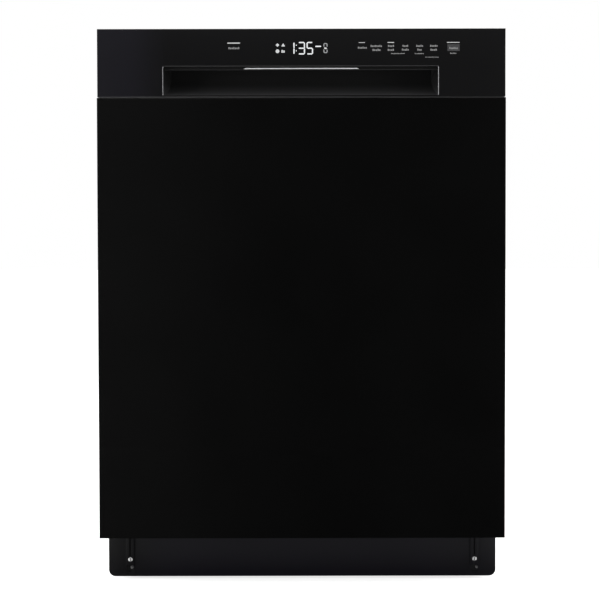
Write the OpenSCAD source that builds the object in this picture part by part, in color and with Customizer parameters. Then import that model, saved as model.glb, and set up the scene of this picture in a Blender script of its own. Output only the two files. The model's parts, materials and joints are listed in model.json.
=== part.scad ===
// Built-in dishwasher with a front control panel, a pocket handle, two wire racks and three spray levels.
// Millimetres. +Z is up, -Y is the front, the origin is on the floor under the middle of the machine.

/* [Overall] */
// Width of the door's face
door_w = 603; // [590:1:620]
// Height from the floor to the top of the door, with the feet wound in
overall_h = 830; // [815:1:860]
// Depth from the door's face to the rear cover
overall_d = 625; // [610:1:650]
// Distance of each side cover inside the door's edge
side_inset = 2.5; // [1.5:0.1:4]

/* [Door] */
// Height of the control panel
fascia_h = 100; // [90:1:115]
// Height of the open space below the door
toe_h = 75; // [68:1:90]
// Depth of the side returns of the outer panel
panel_return = 30; // [20:1:32]
// Thickness of the outer panel's sheet
panel_t = 1; // [0.8:0.1:1.5]
// Gap between the control panel and the outer panel
seam = 0.8; // [0.5:0.1:2]
// Amount by which the control panel is narrower than the outer panel on each side
fascia_inset = 0.8; // [0:0.1:2]
// Wall of the control panel's moulding
fascia_t = 3; // [2:0.1:4]
// Depth of the door from its face to the inner liner
door_t = 56; // [52:1:60]
// Reach of the inner liner past the tub on each side
liner_lap = 6.5; // [5:0.1:7.5]
// Thickness of the inner liner's sheet
liner_t = 1; // [0.8:0.1:1.2]
// Depth of the pressed field in the inner liner
liner_press = 10; // [6:1:12]

/* [Pocket handle] */
// Width of the handle's opening
pocket_w = 406.4; // [380:0.1:430]
// Height of the handle's opening
pocket_h = 42; // [36:1:46]
// Depth of the scoop behind the opening
pocket_d = 40; // [34:1:42]
// Height of the bar below the opening
pocket_sill = 3; // [2:0.1:5]
// Length of the bright strip on the grip
strip_w = 171; // [120:1:200]
// Height of the bright strip
strip_h = 1.8; // [1.2:0.1:3]
// Drop of the bright strip below the top of the opening
strip_gap = 1.7; // [1:0.1:2.5]

/* [Hinge] */
// Height of the door's hinge axis
hinge_z = 118; // [115:1:121]
// Distance of the hinge axis behind the door's face
hinge_back = 40; // [38:1:42]
// Radius of the hinge pin
hinge_pin_r = 5; // [4:0.5:6]
// Reach of the balance lever, up and back from the axis
lever_reach = 28; // [24:1:30]
// Radial running clearance of pins in their bores
pin_play = 0.05; // [0.02:0.01:0.09]

/* [Tub] */
// Space between the tub and each side cover's face
tub_side = 23.5; // [22.5:0.1:26]
// Thickness of the tub's sheet
tub_t = 1; // [0.8:0.1:1.6]
// Height of the tub's floor inside
tub_floor_z = 150; // [146:1:156]
// Space between the tub's roof and the top of the door
top_space = 28.5; // [28:0.5:34]
// Space between the tub's back and the rear cover's face
back_space = 40; // [36:1:46]
// Radius of the tub's long edges
tub_edge_r = 28; // [20:1:34]
// Thickness of the door seal
gasket_t = 4; // [3.5:0.1:5]

/* [Base] */
// Height of the base tray's underside
tray_z = 22; // [20:1:26]
// Height of the base tray's side walls
tray_h = 88; // [80:1:92]
// Wall of the base tray
tray_t = 3; // [2.5:0.1:4]
// Recess of the kick plate behind the door's face
kick_back = 80; // [76:1:84]
// Distance of the kick plate's ends inside the door's edges
kick_inset = 6.5; // [5:0.5:14]
// Gap between the kick plate and the floor
kick_gap = 5; // [3:0.5:8]
// Radius of the kick plate's lower corners
kick_corner_r = 10; // [6:1:14]
// Distance of each fixing slot from the kick plate's end
kick_slot_in = 32.5; // [28:0.5:50]
// Radius of the feet's threaded stems
foot_stem_r = 5; // [4:0.5:6]
// Radius of the feet's pads
foot_pad_r = 19; // [16:1:22]

/* [Racks] */
// Space between the baskets' side wires and the tub's walls
rack_side = 29.5; // [28:0.5:34]
// Gap between the baskets' front and the door's liner
rack_gap = 34; // [32:1:38]
// Space between the baskets' back wires and the tub's back
rack_back = 22; // [20:0.5:30]
// Radius of the basket wire
wire_r = 1.8; // [1.6:0.1:2.2]
// Radius of the rim wire
rim_r = 2.6; // [2.2:0.1:3]
// Bite of one welded wire into the next
weld = 0.5; // [0.3:0.1:0.8]
// Height of the lower basket's floor above the tub's floor
lower_lift = 60; // [58:1:66]
// Height of the lower basket's walls
lower_h = 140; // [120:1:150]
// Radius of the curve at the lower front edge of the lower basket
lower_curve = 60; // [54:1:66]
// Height of the upper basket's floor
upper_z = 520; // [510:1:530]
// Height of the upper basket's walls
upper_h = 112; // [90:1:120]
// Radius of the lower rack's wheels
wheel_r = 20; // [18:0.5:22]
// Width of the lower rack's wheels
wheel_w = 8; // [6:0.5:9]

/* [Washing] */
// Radius of the opening in the tub's floor
well_r = 128; // [124:1:132]
// Depth of the well in the tub's floor
well_d = 24; // [20:1:28]
// Space between the lower spray arm's tip and the wheels' carriers
arm_gap = 15; // [11:0.5:24]
// Thickness of the spray arms
arm_t = 11; // [9:0.5:12]
// Radius of the twist-out filter
filter_r = 37; // [32:1:38]
// Distance of the twist-out filter from the spray arm's axis
filter_off = 70; // [68:1:72]

/* [Hidden] */
$fn = 48;
yf = -overall_d / 2;
yb = overall_d / 2;
door_top = overall_h;
body_w = door_w - 2 * side_inset;
tub_w = body_w - 2 * tub_side;
liner_w = tub_w + 2 * liner_lap;
kick_w = door_w - 2 * kick_inset;
kick_slot_x = kick_w / 2 - kick_slot_in;
fascia_z = door_top - fascia_h;
fascia_w = door_w - 2 * fascia_inset;
panel_top = fascia_z - seam;
liner_y = yf + door_t;
tub_front = liner_y + gasket_t;
tub_back = yb - back_space;
tub_top = overall_h - top_space;
tub_in_x = tub_w / 2 - tub_t;
tub_in_back = tub_back - tub_t;
tub_in_top = tub_top - tub_t;
hinge_y = yf + hinge_back;
clear = 0.3;

// Positions across the machine, from the tub outwards
tray_half = body_w / 2 - 1;
tray_x = tray_half - tray_t;
bracket_t = 5;
bracket_x = tray_x - bracket_t;
lever_t = 3;
lever_x = bracket_x - 1 - lever_t;

// Pocket handle
pocket_z = fascia_z + pocket_sill;
pocket_top = pocket_z + pocket_h;
grip_back = 9;
grip_t = 4;
grip_drop = 6;
scoop_in = 12;

// Racks
rack_y0 = liner_y + rack_gap;
rack_y1 = tub_in_back - rack_back;
rack_d = rack_y1 - rack_y0;
rack_w = 2 * (tub_in_x - rack_side);
rack_mid = (rack_y0 + rack_y1) / 2;
lower_z = tub_floor_z + lower_lift;
bend_r = 20;
stub = bend_r + 6;
n_cross = 10;
n_long = 11;
wheel_z = tub_floor_z + wheel_r;
wheel_x = rack_w / 2 - 9;
wheel_ys = [rack_y0 + 100, rack_mid + 30, rack_y1 - 40];
wheel_bore_r = 3;
carrier_t = 4;
floor_top = 3 * wire_r - weld;

// Upper rack's runners
rail_z = upper_z + 76;
rail_h = 22;
rail_t = 1.2;
rail_len = rack_d - 4;
outer_rail_x = tub_in_x - 10.8;
mid_rail_t = 4.6;
mid_rail_x = outer_rail_x - clear - mid_rail_t;
mid_rail_h = 15;
hanger_t = 3;
hanger_x = mid_rail_x - clear - hanger_t;

// Washing system
well_y = rack_mid;
well_z = tub_floor_z - well_d;
hub_r = 22;
spigot_r = 9;
arm_z = tub_floor_z + 10;
arm_reach = wheel_x - 1 - carrier_t - arm_gap;
upper_arm_z = upper_z - 40;
filter_angle = -52;
filter_x = filter_off * cos(filter_angle);
filter_y = well_y + filter_off * sin(filter_angle);
duct_w = 34;
duct_t = 12;
sump_r = well_r - 14;
sump_z = 66;
hose_r = 9.5;

// Inner door
disp_w = 190;
disp_h = 196;
disp_x = 0;
disp_z = 392;
bezel_t = 13;
bezel_y = liner_y - liner_press;
cup_w = 78;
cup_h = 66;
cup_x = -78;
cup_z = disp_z + 104;
lid_travel = 66;
lid_t = 3;
cap_r = 17;
cap_x = 52;
cap_z = cup_z + 33;

// Feet
foot_in = 66;
foot_x = tray_half - foot_in;
foot_front_y = yf + 140;
foot_rear_y = yb - 70;
lug_z = 11;
foot_pad_h = 7;
foot_travel = 40;
rib_x = foot_x + 6;

// ---------- Helpers ----------

module both_sides() {
    children();
    mirror([1, 0, 0]) children();
}

// Box between two corners
module block(a, b) {
    translate(a) cube(b - a);
}

// Rectangle with round corners, centred on x, from z = 0 up
module round_rect(w, h, r) {
    translate([-w / 2 + r, 0]) square([w - 2 * r, h]);
    translate([-w / 2, r]) square([w, h - 2 * r]);
    for (x = [-w / 2 + r, w / 2 - r], y = [r, h - r]) translate([x, y]) circle(r);
}

// Child outline in x and z, from y to y + t
module sheet_y(y, t) {
    translate([0, y + t, 0]) rotate([90, 0, 0]) linear_extrude(t) children();
}

// Child outline in y and z, from x to x + t
module sheet_x(x, t) {
    translate([x, 0, 0]) rotate([90, 0, 90]) linear_extrude(t) children();
}

// Round bars along each axis
module bar_x(x0, x1, y, z, r) {
    translate([x0, y, z]) rotate([0, 90, 0]) cylinder(r = r, h = x1 - x0);
}
module bar_y(y0, y1, x, z, r) {
    translate([x, y0, z]) rotate([-90, 0, 0]) cylinder(r = r, h = y1 - y0);
}
module bar_z(z0, z1, x, y, r) {
    translate([x, y, z0]) cylinder(r = r, h = z1 - z0);
}

function unit(v) = v / norm(v);
function heading(a, b) = atan2(b[1] - a[1], b[0] - a[0]);
function turn(a, b, c) = let (t = heading(b, c) - heading(a, b)) t > 180 ? t - 360 : t < -180 ? t + 360 : t;
function setback(p, i, bends) =
    i == 0 || i == len(p) - 1 ? 0 : bends[i] * tan(abs(turn(p[i - 1], p[i], p[i + 1])) / 2);

// Wire of radius r through the points p of a plane, with the bend radii at its corners
module bent_wire(p, bends, r) {
    for (i = [0 : len(p) - 2]) {
        d = unit(p[i + 1] - p[i]);
        a = p[i] + d * setback(p, i, bends);
        b = p[i + 1] - d * setback(p, i + 1, bends);
        translate([a[0], a[1], 0]) rotate([0, 0, heading(a, b)]) rotate([0, 90, 0])
            cylinder(r = r, h = norm(b - a));
    }
    for (i = [1 : len(p) - 2]) {
        d = unit(p[i] - p[i - 1]);
        t = turn(p[i - 1], p[i], p[i + 1]);
        side = t > 0 ? 1 : -1;
        start = p[i] - d * setback(p, i, bends);
        centre = start + side * bends[i] * [-d[1], d[0]];
        from = heading([0, 0], d) - side * 90 + (t > 0 ? 0 : t);
        translate([centre[0], centre[1], 0]) rotate([0, 0, from])
            rotate_extrude(angle = abs(t)) translate([bends[i], 0]) circle(r, $fn = 24);
    }
}

// Stand a plane of x and y up, so that its y becomes z
module upright_x(y) {
    translate([0, y, 0]) rotate([90, 0, 0]) children();
}
// Stand a plane up so that its x becomes y and its y becomes z
module upright_y(x) {
    translate([x, 0, 0]) rotate([90, 0, 90]) children();
}

// Row of upright tines on one bar along x
module comb(x0, x1, count, y, z, h, r) {
    bar_x(x0, x1, y, z, r);
    for (i = [0 : count - 1])
        bar_z(z, z + h, x0 + 8 + i * (x1 - x0 - 16) / (count - 1), y, r - 0.2);
}

// ---------- Casing ----------

// Plastic tray that carries the tub, the pumps and the feet
module base_tray() color("#1b1b1c") {
    y0 = yf + kick_back + 5;
    y1 = yb - 3;
    rib_top = tub_floor_z - tub_t;
    // Below the step the tray is narrower than the kick plate in front of it
    low_half = kick_w / 2 - 2;
    step_z = toe_h + 3;
    difference() {
        union() {
            difference() {
                union() {
                    block([-low_half, y0, tray_z], [low_half, y1, step_z]);
                    block([-tray_half, y0, step_z - tray_t], [tray_half, y1, tray_z + tray_h]);
                }
                block([-low_half + tray_t, y0 + tray_t, tray_z + tray_t], [low_half - tray_t, y1 - tray_t, step_z + 1]);
                block([-tray_x, y0 + tray_t, step_z], [tray_x, y1 - tray_t, tray_z + tray_h + 1]);
            }
            // Ribs under the tub, with a foot's boss at each end, and the anchors of the springs
            both_sides() {
                block([rib_x - 2, y0 + 1, tray_z + 1], [rib_x + 2, y1 - 1, tray_z + tray_h]);
                block([rib_x - 2, y0 + 1, tray_z + 1], [rib_x + 2, tub_back - 2, rib_top]);
                block([lever_x - 5, spring_y1 + 5, step_z - 1], [tray_half - 1, spring_y1 + 12, spring_z + 9]);
                block([lever_x - 5, spring_y1 + 5, tray_z + 1], [low_half - 1, spring_y1 + 12, step_z]);
            }
            block([-low_half + 4, y0, lug_z], [low_half - 4, y0 + tray_t, tray_z + 1]);
            for (x = [-foot_x, foot_x], y = [foot_front_y, foot_rear_y])
                bar_z(tray_z, tray_z + 44, x, y, foot_stem_r + 6);
        }
        for (x = [-foot_x, foot_x], y = [foot_front_y, foot_rear_y])
            bar_z(tray_z - 1, tray_z + 60, x, y, foot_stem_r + pin_play);
        // Window in the rear wall for the services
        block([-tray_x + 20, y1 - tray_t - 1, tray_z + 14], [tray_x - 20, y1 + 1, tray_z + tray_h + 1]);
        // Slots for the kick plate's screws
        both_sides() bar_y(y0 - 1, y0 + tray_t + 1, kick_slot_x, kick_gap + 24, 2);
        // Relief in the ribs for cables
        both_sides() for (y = [y0 + 40 : 90 : y1 - 120])
            block([rib_x - 3, y, tray_z + 30], [rib_x + 3, y + 50, tray_z + 80]);
    }
}

module tub_outline(grow) {
    translate([0, tub_floor_z - tub_t - grow])
        round_rect(tub_w + 2 * grow, tub_top - tub_floor_z + tub_t + 2 * grow, tub_edge_r + grow);
}

// Pressed steel tub, open at the front, with a well for the sump
module tub() color("#c9ccce") {
    difference() {
        union() {
            sheet_y(tub_front, tub_back - tub_front) tub_outline(0);
            sheet_y(tub_front, tub_t) tub_outline(6);
            bar_z(well_z - tub_t, tub_floor_z, 0, well_y, well_r);
        }
        sheet_y(tub_front - 1, tub_in_back - tub_front + 1) tub_outline(-tub_t);
        bar_z(well_z, tub_floor_z + 1, 0, well_y, well_r - tub_t);
        bar_z(well_z - tub_t - 1, well_z + 1, 0, well_y, sump_r - 6);
    }
}

// Steel frame round the mouth of the tub
module tub_frame() color("#8f9396") {
    x0 = tub_w / 2 + 2;
    x1 = body_w / 2 - 1;
    y0 = tub_front + tub_t;
    z0 = hinge_z + lever_reach * 1.42 + 26;
    z1 = tub_top + 22;
    both_sides() difference() {
        block([x0, y0, z0], [x1, y0 + 22, z1]);
        block([x0 + 1.2, y0 + 1.2, z0 - 1], [x1 - 1.2, y0 + 23, z1 - 1.2]);
    }
    difference() {
        block([-x0, y0, tub_top + 2], [x0, y0 + 22, z1]);
        block([-x0 - 1, y0 + 1.2, tub_top + 1], [x0 + 1, y0 + 23, z1 - 1.2]);
    }
}

// Zinc-coated side covers with pressed stiffening fields
module side_panels() color("#a3a7aa") {
    y0 = tub_front + 2;
    y1 = yb - 2;
    z0 = tray_z + tray_h - 12;
    z1 = overall_h - 8;
    x1 = body_w / 2;
    both_sides() {
        difference() {
            union() {
                block([x1 - 1, y0, z0], [x1, y1, z1]);
                block([x1 - 14, y0 + 28, z1 - 1], [x1, y1 - 2, z1]);
            }
            for (z = [z0 + 60, z0 + 290, z0 + 520]) sheet_x(x1 - 0.45, 2)
                translate([(y0 + y1) / 2 + 4, z]) round_rect(y1 - y0 - 90, 150, 18);
            // Corner in which the lower edge of the open door lies
            block([x1 - 2, y0 - 1, z0 - 1], [x1 + 1, hinge_y + (hinge_z - toe_h) + 2, hinge_z - 6]);
        }
    }
}

// Rear cover: a pan with a pressed field
module rear_cover() color("#9b9fa2") {
    z0 = tray_z + tray_h + 4;
    z1 = overall_h - 9;
    w = body_w - 2;
    difference() {
        sheet_y(yb - 14, 14) translate([0, z0]) round_rect(w, z1 - z0, 8);
        sheet_y(yb - 15, 14) translate([0, z0 + 1]) round_rect(w - 2, z1 - z0 - 2, 7);
        sheet_y(yb - 0.5, 2) translate([0, z0 + 70]) round_rect(w - 120, z1 - z0 - 140, 24);
        for (i = [0 : 9], s = [-1, 1])
            sheet_y(yb - 3, 4) translate([s * (w / 2 - 30), z0 + 90 + i * 12]) round_rect(34, 5, 2);
    }
}

// Felt pad on the tub's roof
module sound_pad() color("#5b5c5e") {
    block([-tub_w / 2 + 30, tub_front + 30, tub_top], [tub_w / 2 - 30, tub_back - 8, tub_top + 8]);
}

// Rubber seal on the flange of the tub
module door_gasket() color("#3a3b3d") {
    sheet_y(tub_front - gasket_t + clear, gasket_t - clear) difference() {
        tub_outline(5);
        tub_outline(-1);
    }
}

// Steel tabs that screw to the worktop's underside
module mounting_brackets() color("#b4b8bb") {
    x = tub_w / 2 - 35.5;
    z = tub_top + 22;
    y0 = tub_front + 4;
    both_sides() difference() {
        union() {
            block([x - 14, y0, z], [x + 14, y0 + 34, z + 1.6]);
            block([x - 14, y0 + 24.4, z - 14], [x + 14, y0 + 26, z + 1]);
        }
        bar_z(z - 1, z + 3, x, y0 + 12, 2.6);
    }
}

// Kick plate: sheet steel with round lower corners and a keyhole slot in a raised rib at each end
module kick_plate() color("#17171a") {
    y = yf + kick_back;
    top = toe_h - 4;
    t = 1.2;
    difference() {
        union() {
            sheet_y(y, t) difference() {
                translate([0, kick_gap]) round_rect(kick_w, top, kick_corner_r);
                translate([-kick_w, top]) square([2 * kick_w, top]);
            }
            both_sides() {
                sheet_y(y - 1.2, 1.3) translate([kick_slot_x, kick_gap + 16]) round_rect(15, top - kick_gap - 16, 3);
                block([kick_w / 2 - t, y + 0.2, kick_gap + 14], [kick_w / 2, y + 5, top]);
            }
            // Folded foot of the plate
            block([-kick_w / 2 + 14, y + 0.2, kick_gap], [kick_w / 2 - 14, y + 9, kick_gap + t]);
        }
        both_sides() {
            bar_y(y - 3, y + 3, kick_slot_x, kick_gap + 12.5, 5.8);
            block([kick_slot_x - 2.4, y - 3, kick_gap + 12.5], [kick_slot_x + 2.4, y + 3, top - 8]);
        }
    }
}

// Screws of the kick plate: one in each slot, and one seen through each round hole
module kick_screws() color("#c4c6c8") {
    y = yf + kick_back;
    both_sides() {
        difference() {
            union() {
                bar_y(y - 3.6, y - 1.2, kick_slot_x, kick_gap + 24, 4);
                bar_y(y - 1.3, y + 9, kick_slot_x, kick_gap + 24, 1.9);
            }
            block([kick_slot_x - 2.6, y - 4, kick_gap + 23.5], [kick_slot_x + 2.6, y - 2.8, kick_gap + 24.5]);
            block([kick_slot_x - 0.5, y - 4, kick_gap + 21.4], [kick_slot_x + 0.5, y - 2.8, kick_gap + 26.6]);
        }
        difference() {
            bar_y(y + 2.4, y + 5, kick_slot_x, kick_gap + 12.5, 3.6);
            block([kick_slot_x - 2.2, y + 2, kick_gap + 12], [kick_slot_x + 2.2, y + 3.2, kick_gap + 13]);
        }
    }
}

// Fixed plates with the pins on which the door turns
module hinge_brackets() color("#8b9094") {
    both_sides() {
        difference() {
            union() {
                bar_x(bracket_x, bracket_x + bracket_t, hinge_y, hinge_z, 12);
                block([bracket_x, hinge_y, hinge_z - 8], [bracket_x + bracket_t, hinge_y + 105, hinge_z + 12]);
                block([bracket_x, hinge_y + 64, hinge_z - 36], [bracket_x + bracket_t, hinge_y + 105, hinge_z]);
            }
            for (y = [hinge_y + 76, hinge_y + 94])
                bar_x(bracket_x - 1, bracket_x + bracket_t + 1, y, hinge_z - 20, 2.2);
        }
        bar_x(lever_x - 3, bracket_x + 1, hinge_y, hinge_z, hinge_pin_r);
    }
}

// Closed steel loop above the tub's mouth, over which the latch closes
module latch_strike() color("#b9bcbe") {
    z = tub_top + 9;
    y = tub_front + tub_t;
    difference() {
        block([-16, y - 14, z - 1], [16, y, z + 1.6]);
        block([-9, y - 10, z - 2], [9, y - 5, z + 3]);
    }
    block([-16, y - 1.2, z - 1], [16, y, z + 10]);
}

// ---------- Washing system ----------

// Moulded bowl under the tub, with the post that carries the lower spray arm
module sump() color("#2b2c2e") {
    difference() {
        union() {
            bar_z(sump_z, well_z - tub_t, 0, well_y, sump_r);
            bar_z(sump_z + 1, arm_z - clear, 0, well_y, hub_r);
            bar_z(arm_z - 3, arm_z + arm_t + 4, 0, well_y, spigot_r);
            // Retaining nut over the arm, and the bosses of the two pumps
            bar_z(arm_z + arm_t + 1.5 + clear, arm_z + arm_t + 7, 0, well_y, 14);
            bar_y(well_y - sump_r - 6, well_y - sump_r + 14, 32, sump_z + 28, 15);
            bar_x(sump_r - 12, sump_r + 1, well_y, sump_z + 16, 13);
        }
        difference() {
            bar_z(sump_z + 3, well_z + 1, 0, well_y, sump_r - 3);
            bar_z(sump_z, well_z + 2, 0, well_y, hub_r);
        }
        bar_z(sump_z + 2, arm_z + arm_t + 4, 0, well_y, spigot_r - 2.5);
    }
}

// Perforated steel plate over the sump
module filter_plate() color("#b7babc") {
    z = well_z + clear;
    difference() {
        bar_z(z, z + 1.2, 0, well_y, well_r - tub_t - 1.5);
        bar_z(z - 1, z + 3, 0, well_y, hub_r + 0.5);
        bar_z(z - 1, z + 3, filter_x, filter_y, filter_r - 1);
        for (ring = [0 : 4], i = [0 : 23 + 6 * ring]) {
            radius = 42 + ring * 17;
            angle = i * 360 / (24 + 6 * ring);
            at = [radius * cos(angle), well_y + radius * sin(angle)];
            if (norm(at - [filter_x, filter_y]) > filter_r + 4) bar_z(z - 1, z + 3, at[0], at[1], 1.6);
        }
    }
}

// Filter that turns a quarter turn and lifts out
module filter_cylinder() color("#50565c") {
    z = well_z + clear + 1.2;
    wall = 2;
    translate([filter_x, filter_y, 0]) {
        difference() {
            union() {
                bar_z(z, z + 3.5, 0, 0, filter_r + 2);
                bar_z(sump_z + 6, z + 1, 0, 0, filter_r - 3);
            }
            bar_z(sump_z + 8, z + 5, 0, 0, filter_r - 3 - wall);
            // Tall windows in the wall, for the mesh
            for (i = [0 : 7]) rotate([0, 0, i * 45 + 22.5])
                block([10, -8, sump_z + 14], [filter_r + 5, 8, z - 6]);
        }
        // Grip bar with a finger's room on each side
        block([-filter_r + 4, -2.5, z - 8], [filter_r - 4, 2.5, z + 9]);
    }
}

// Motor and pump on their side in front of the sump
module wash_pump() color("#3d4146") {
    y = well_y - sump_r - 48;
    z = sump_z + 6;
    bar_x(-86, 18, y, z, 38);
    for (x = [-70 : 12 : 6]) bar_x(x, x + 4, y, z, 40.5);
    bar_x(-93, -86, y, z, 14);
    bar_x(18, 46, y, z, 43);
    bar_x(46, 58, y, z, 24);
    // Outlet into the sump's wall
    bar_y(y + 20, well_y - sump_r - 6, 32, sump_z + 28, 13);
    // Feet on the tray's floor
    for (x = [-70, 0]) block([x - 6, y - 20, tray_z + tray_t], [x + 6, y + 20, z - 30]);
}

// Small drain pump beside the sump, with its hose tail at the rear
module drain_pump() color("#4a4f54") {
    x0 = sump_r + 1;
    z = sump_z + 12;
    difference() {
        union() {
            bar_x(x0, x0 + 34, well_y, z, 26);
            bar_x(x0 + 34, x0 + 66, well_y, z, 21);
            bar_y(well_y + 10, yb - 10, x0 + 20, z, hose_r);
            bar_y(yb - 50, yb - 46, x0 + 20, z, hose_r + 3);
        }
        bar_y(yb - 60, yb, x0 + 20, z, hose_r - 2.5);
    }
}

// Flat duct on the tub's back wall, with the port that feeds the upper rack
module supply_duct() color("#8d9499") {
    y1 = tub_in_back;
    difference() {
        union() {
            block([-duct_w / 2, y1 - duct_t, tub_floor_z], [duct_w / 2, y1, tub_in_top]);
            block([-duct_w / 2, rack_mid - 12, tub_in_top - 13], [duct_w / 2, y1 - 1, tub_in_top]);
            bar_y(rack_y1 + 1, y1 - duct_t + 1, 0, upper_z - 15, 11);
        }
        bar_y(rack_y1, y1 - 4, 0, upper_z - 15, 8.5);
        block([-duct_w / 2 + 2, y1 - duct_t + 2, tub_floor_z + 4], [duct_w / 2 - 2, y1 - 2, tub_in_top - 4]);
    }
    // Clips to the back wall
    for (z = [tub_floor_z + 120, upper_z + 190])
        block([-duct_w / 2 - 7, y1 - 4, z], [duct_w / 2 + 7, y1, z + 16]);
}

// Shower head under the tub's roof
module ceiling_spray() color("#7d848a") {
    z = tub_in_top - 13;
    difference() {
        union() {
            bar_z(z - 8, z, 0, rack_mid, 46);
            bar_z(z - 13, z - 7, 0, rack_mid, 30);
        }
        for (ring = [1 : 3], i = [0 : 5 * ring + 1]) {
            angle = i * 360 / (5 * ring + 2);
            bar_z(z - 14, z - 5, ring * 9 * cos(angle), rack_mid + ring * 9 * sin(angle), 1.4);
        }
    }
}

// Outline of one swept spray-arm blade: width w0 at the hub, w1 at the tip
function blade(reach, w0, w1, sweep) = let (n = 14) concat(
    [for (i = [0 : n]) let (s = i / n) [s * reach, sweep * s * s + (w0 + (w1 - w0) * s) / 2]],
    [for (i = [1 : 7]) let (a = 90 - i * 22.5) [reach + w1 / 2 * cos(a), sweep + w1 / 2 * sin(a)]],
    [for (i = [n : -1 : 0]) let (s = i / n) [s * reach, sweep * s * s - (w0 + (w1 - w0) * s) / 2]]
);

module spray_blade(reach, w0, w1, sweep, t, jets) {
    tip = w1 / 2;
    difference() {
        union() {
            linear_extrude(t - 3) polygon(blade(reach - tip, w0, w1, sweep));
            translate([0, 0, t - 3.01]) linear_extrude(3) polygon(blade(reach - tip - 3, w0 - 10, w1 - 7, sweep));
        }
        for (i = [1 : jets]) {
            s = (i + 0.4) / (jets + 1);
            translate([s * reach, sweep * s * s, t - 2]) cylinder(r = 2.2, h = 5);
        }
    }
}

// Lower spray arm: two long and two short blades on one hub
module lower_spray_arm() color("#9aa1a6") {
    translate([0, well_y, arm_z]) difference() {
        union() {
            for (a = [0, 180]) rotate([0, 0, a]) spray_blade(arm_reach, 44, 26, 26, arm_t, 6);
            for (a = [90, 270]) rotate([0, 0, a]) spray_blade(arm_reach * 0.68, 38, 24, -14, arm_t, 4);
            cylinder(r = hub_r + 6, h = arm_t + 1.5);
        }
        translate([0, 0, -1]) cylinder(r = spigot_r + pin_play, h = arm_t + 4);
    }
}

// Mushroom float that lifts if the tub overfills
module overfill_float() color("#d6d8d9") {
    translate([-wheel_x + 46, rack_y0 + 44, tub_floor_z]) {
        difference() {
            cylinder(r = 19, h = 13);
            translate([0, 0, -1]) cylinder(r = 16, h = 11);
        }
        cylinder(r = 4, h = 11);
    }
}

// Solenoid valve with its threaded inlet at the rear
module inlet_valve() color("#e4e2da") {
    z = tray_z + 44;
    x = -170;
    block([x - 20, yb - 78, z - 20], [x + 20, yb - 34, z + 20]);
    bar_y(yb - 35, yb - 24, x, z, 16);
    difference() {
        bar_y(yb - 25, yb - 8, x, z, 13.2);
        bar_y(yb - 24, yb - 7, x, z, 9);
    }
    bar_x(x + 19, x + 40, yb - 60, z, 7);
    block([x - 16, yb - 72, z + 19], [x + 16, yb - 44, z + 34]);
    // Foot on the tray's floor
    block([x - 14, yb - 74, tray_z + tray_t], [x + 14, yb - 40, z - 19]);
}

// Steel box for the mains connection, with a conduit hole to the rear
module junction_box() color("#9da1a4") {
    x0 = sump_r + 38;
    x1 = rib_x - 26;
    y0 = yb - 78;
    z0 = tray_z + tray_t;
    difference() {
        block([x0, y0, z0], [x1, yb - 12, z0 + 62]);
        block([x0 + 1.5, y0 + 1.5, z0 + 1.5], [x1 - 1.5, yb - 13.5, z0 + 60.5]);
        bar_y(yb - 16, yb - 10, (x0 + x1) / 2, z0 + 31, 11.1);
    }
}

// ---------- Feet and door balance ----------

// Levelling foot: pad, hexagon and threaded stem
module foot(x, y) color("#202123") {
    difference() {
        bar_z(0, foot_pad_h, x, y, foot_pad_r);
        bar_z(-1, 1.5, x, y, foot_pad_r - 5);
    }
    translate([x, y, foot_pad_h - 0.5]) cylinder(r = 9.5, h = 7, $fn = 6);
    bar_z(foot_pad_h, tray_z + 52, x, y, foot_stem_r);
}
module foot_front_left() foot(-foot_x, foot_front_y);
module foot_front_right() foot(foot_x, foot_front_y);
module foot_rear_left() foot(-foot_x, foot_rear_y);
module foot_rear_right() foot(foot_x, foot_rear_y);

link_x = lever_x - 3.6;
spring_y0 = hinge_y + 62;
spring_y1 = hinge_y + 200;
spring_z = hinge_z + lever_reach;

// Extension springs that balance the door's weight. Coaxial rings stand for the close coils.
module balance_springs() color("#a9adb0") {
    x = link_x + 1.5;
    both_sides() difference() {
        union() {
            bar_y(spring_y0, spring_y1, x, spring_z, 4.7);
            for (y = [spring_y0 : 3 : spring_y1 - 2]) bar_y(y, y + 1.8, x, spring_z, 5.7);
            bar_y(spring_y1 - 2, spring_y1 + 5, x, spring_z, 4.7);
        }
        bar_y(spring_y0 - 1, spring_y1 - 4, x, spring_z, 3.6);
    }
}

// Links between the balance levers and the springs. The tall slot leaves room for the lever's arc.
module balance_links() color("#7f858a") {
    y = hinge_y + lever_reach;
    both_sides() {
        difference() {
            block([link_x, y - 9, spring_z - 8], [link_x + 3, y + 12, spring_z + 24]);
            block([link_x - 1, y - 4.6, spring_z - 3.4], [link_x + 4, y + 4.6, spring_z + 20]);
        }
        block([link_x, y + 11, spring_z - 5], [link_x + 3, spring_y0, spring_z + 5]);
    }
}

// ---------- Door ----------

// Outer door panel: folded sheet with a small front radius
module door_panel() color("#0b0b0c") {
    r = 2;
    difference() {
        translate([0, 0, toe_h]) linear_extrude(panel_top - toe_h) difference() {
            translate([0, yf]) round_rect(door_w, panel_return + 4, r);
            translate([-door_w, yf + panel_return]) square([2 * door_w, 20]);
        }
        block([-door_w / 2 + panel_t, yf + panel_t, toe_h + panel_t],
              [door_w / 2 - panel_t, yf + panel_return + 1, panel_top - panel_t]);
        // Open the middle of the upper and lower returns, which leaves a narrow flange
        block([-door_w / 2 + 14, yf + 16, toe_h - 1], [door_w / 2 - 14, yf + panel_return + 1, toe_h + 3]);
        block([-door_w / 2 + 14, yf + 12, panel_top - 3], [door_w / 2 - 14, yf + panel_return + 1, panel_top + 1]);
    }
    // Inward folds along the sides, to which the inner door is screwed
    both_sides() block([liner_w / 2 - 6, yf + panel_return - 1, hinge_z + 14],
                       [door_w / 2 - panel_t / 2, yf + panel_return, panel_top - 4]);
}

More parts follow.
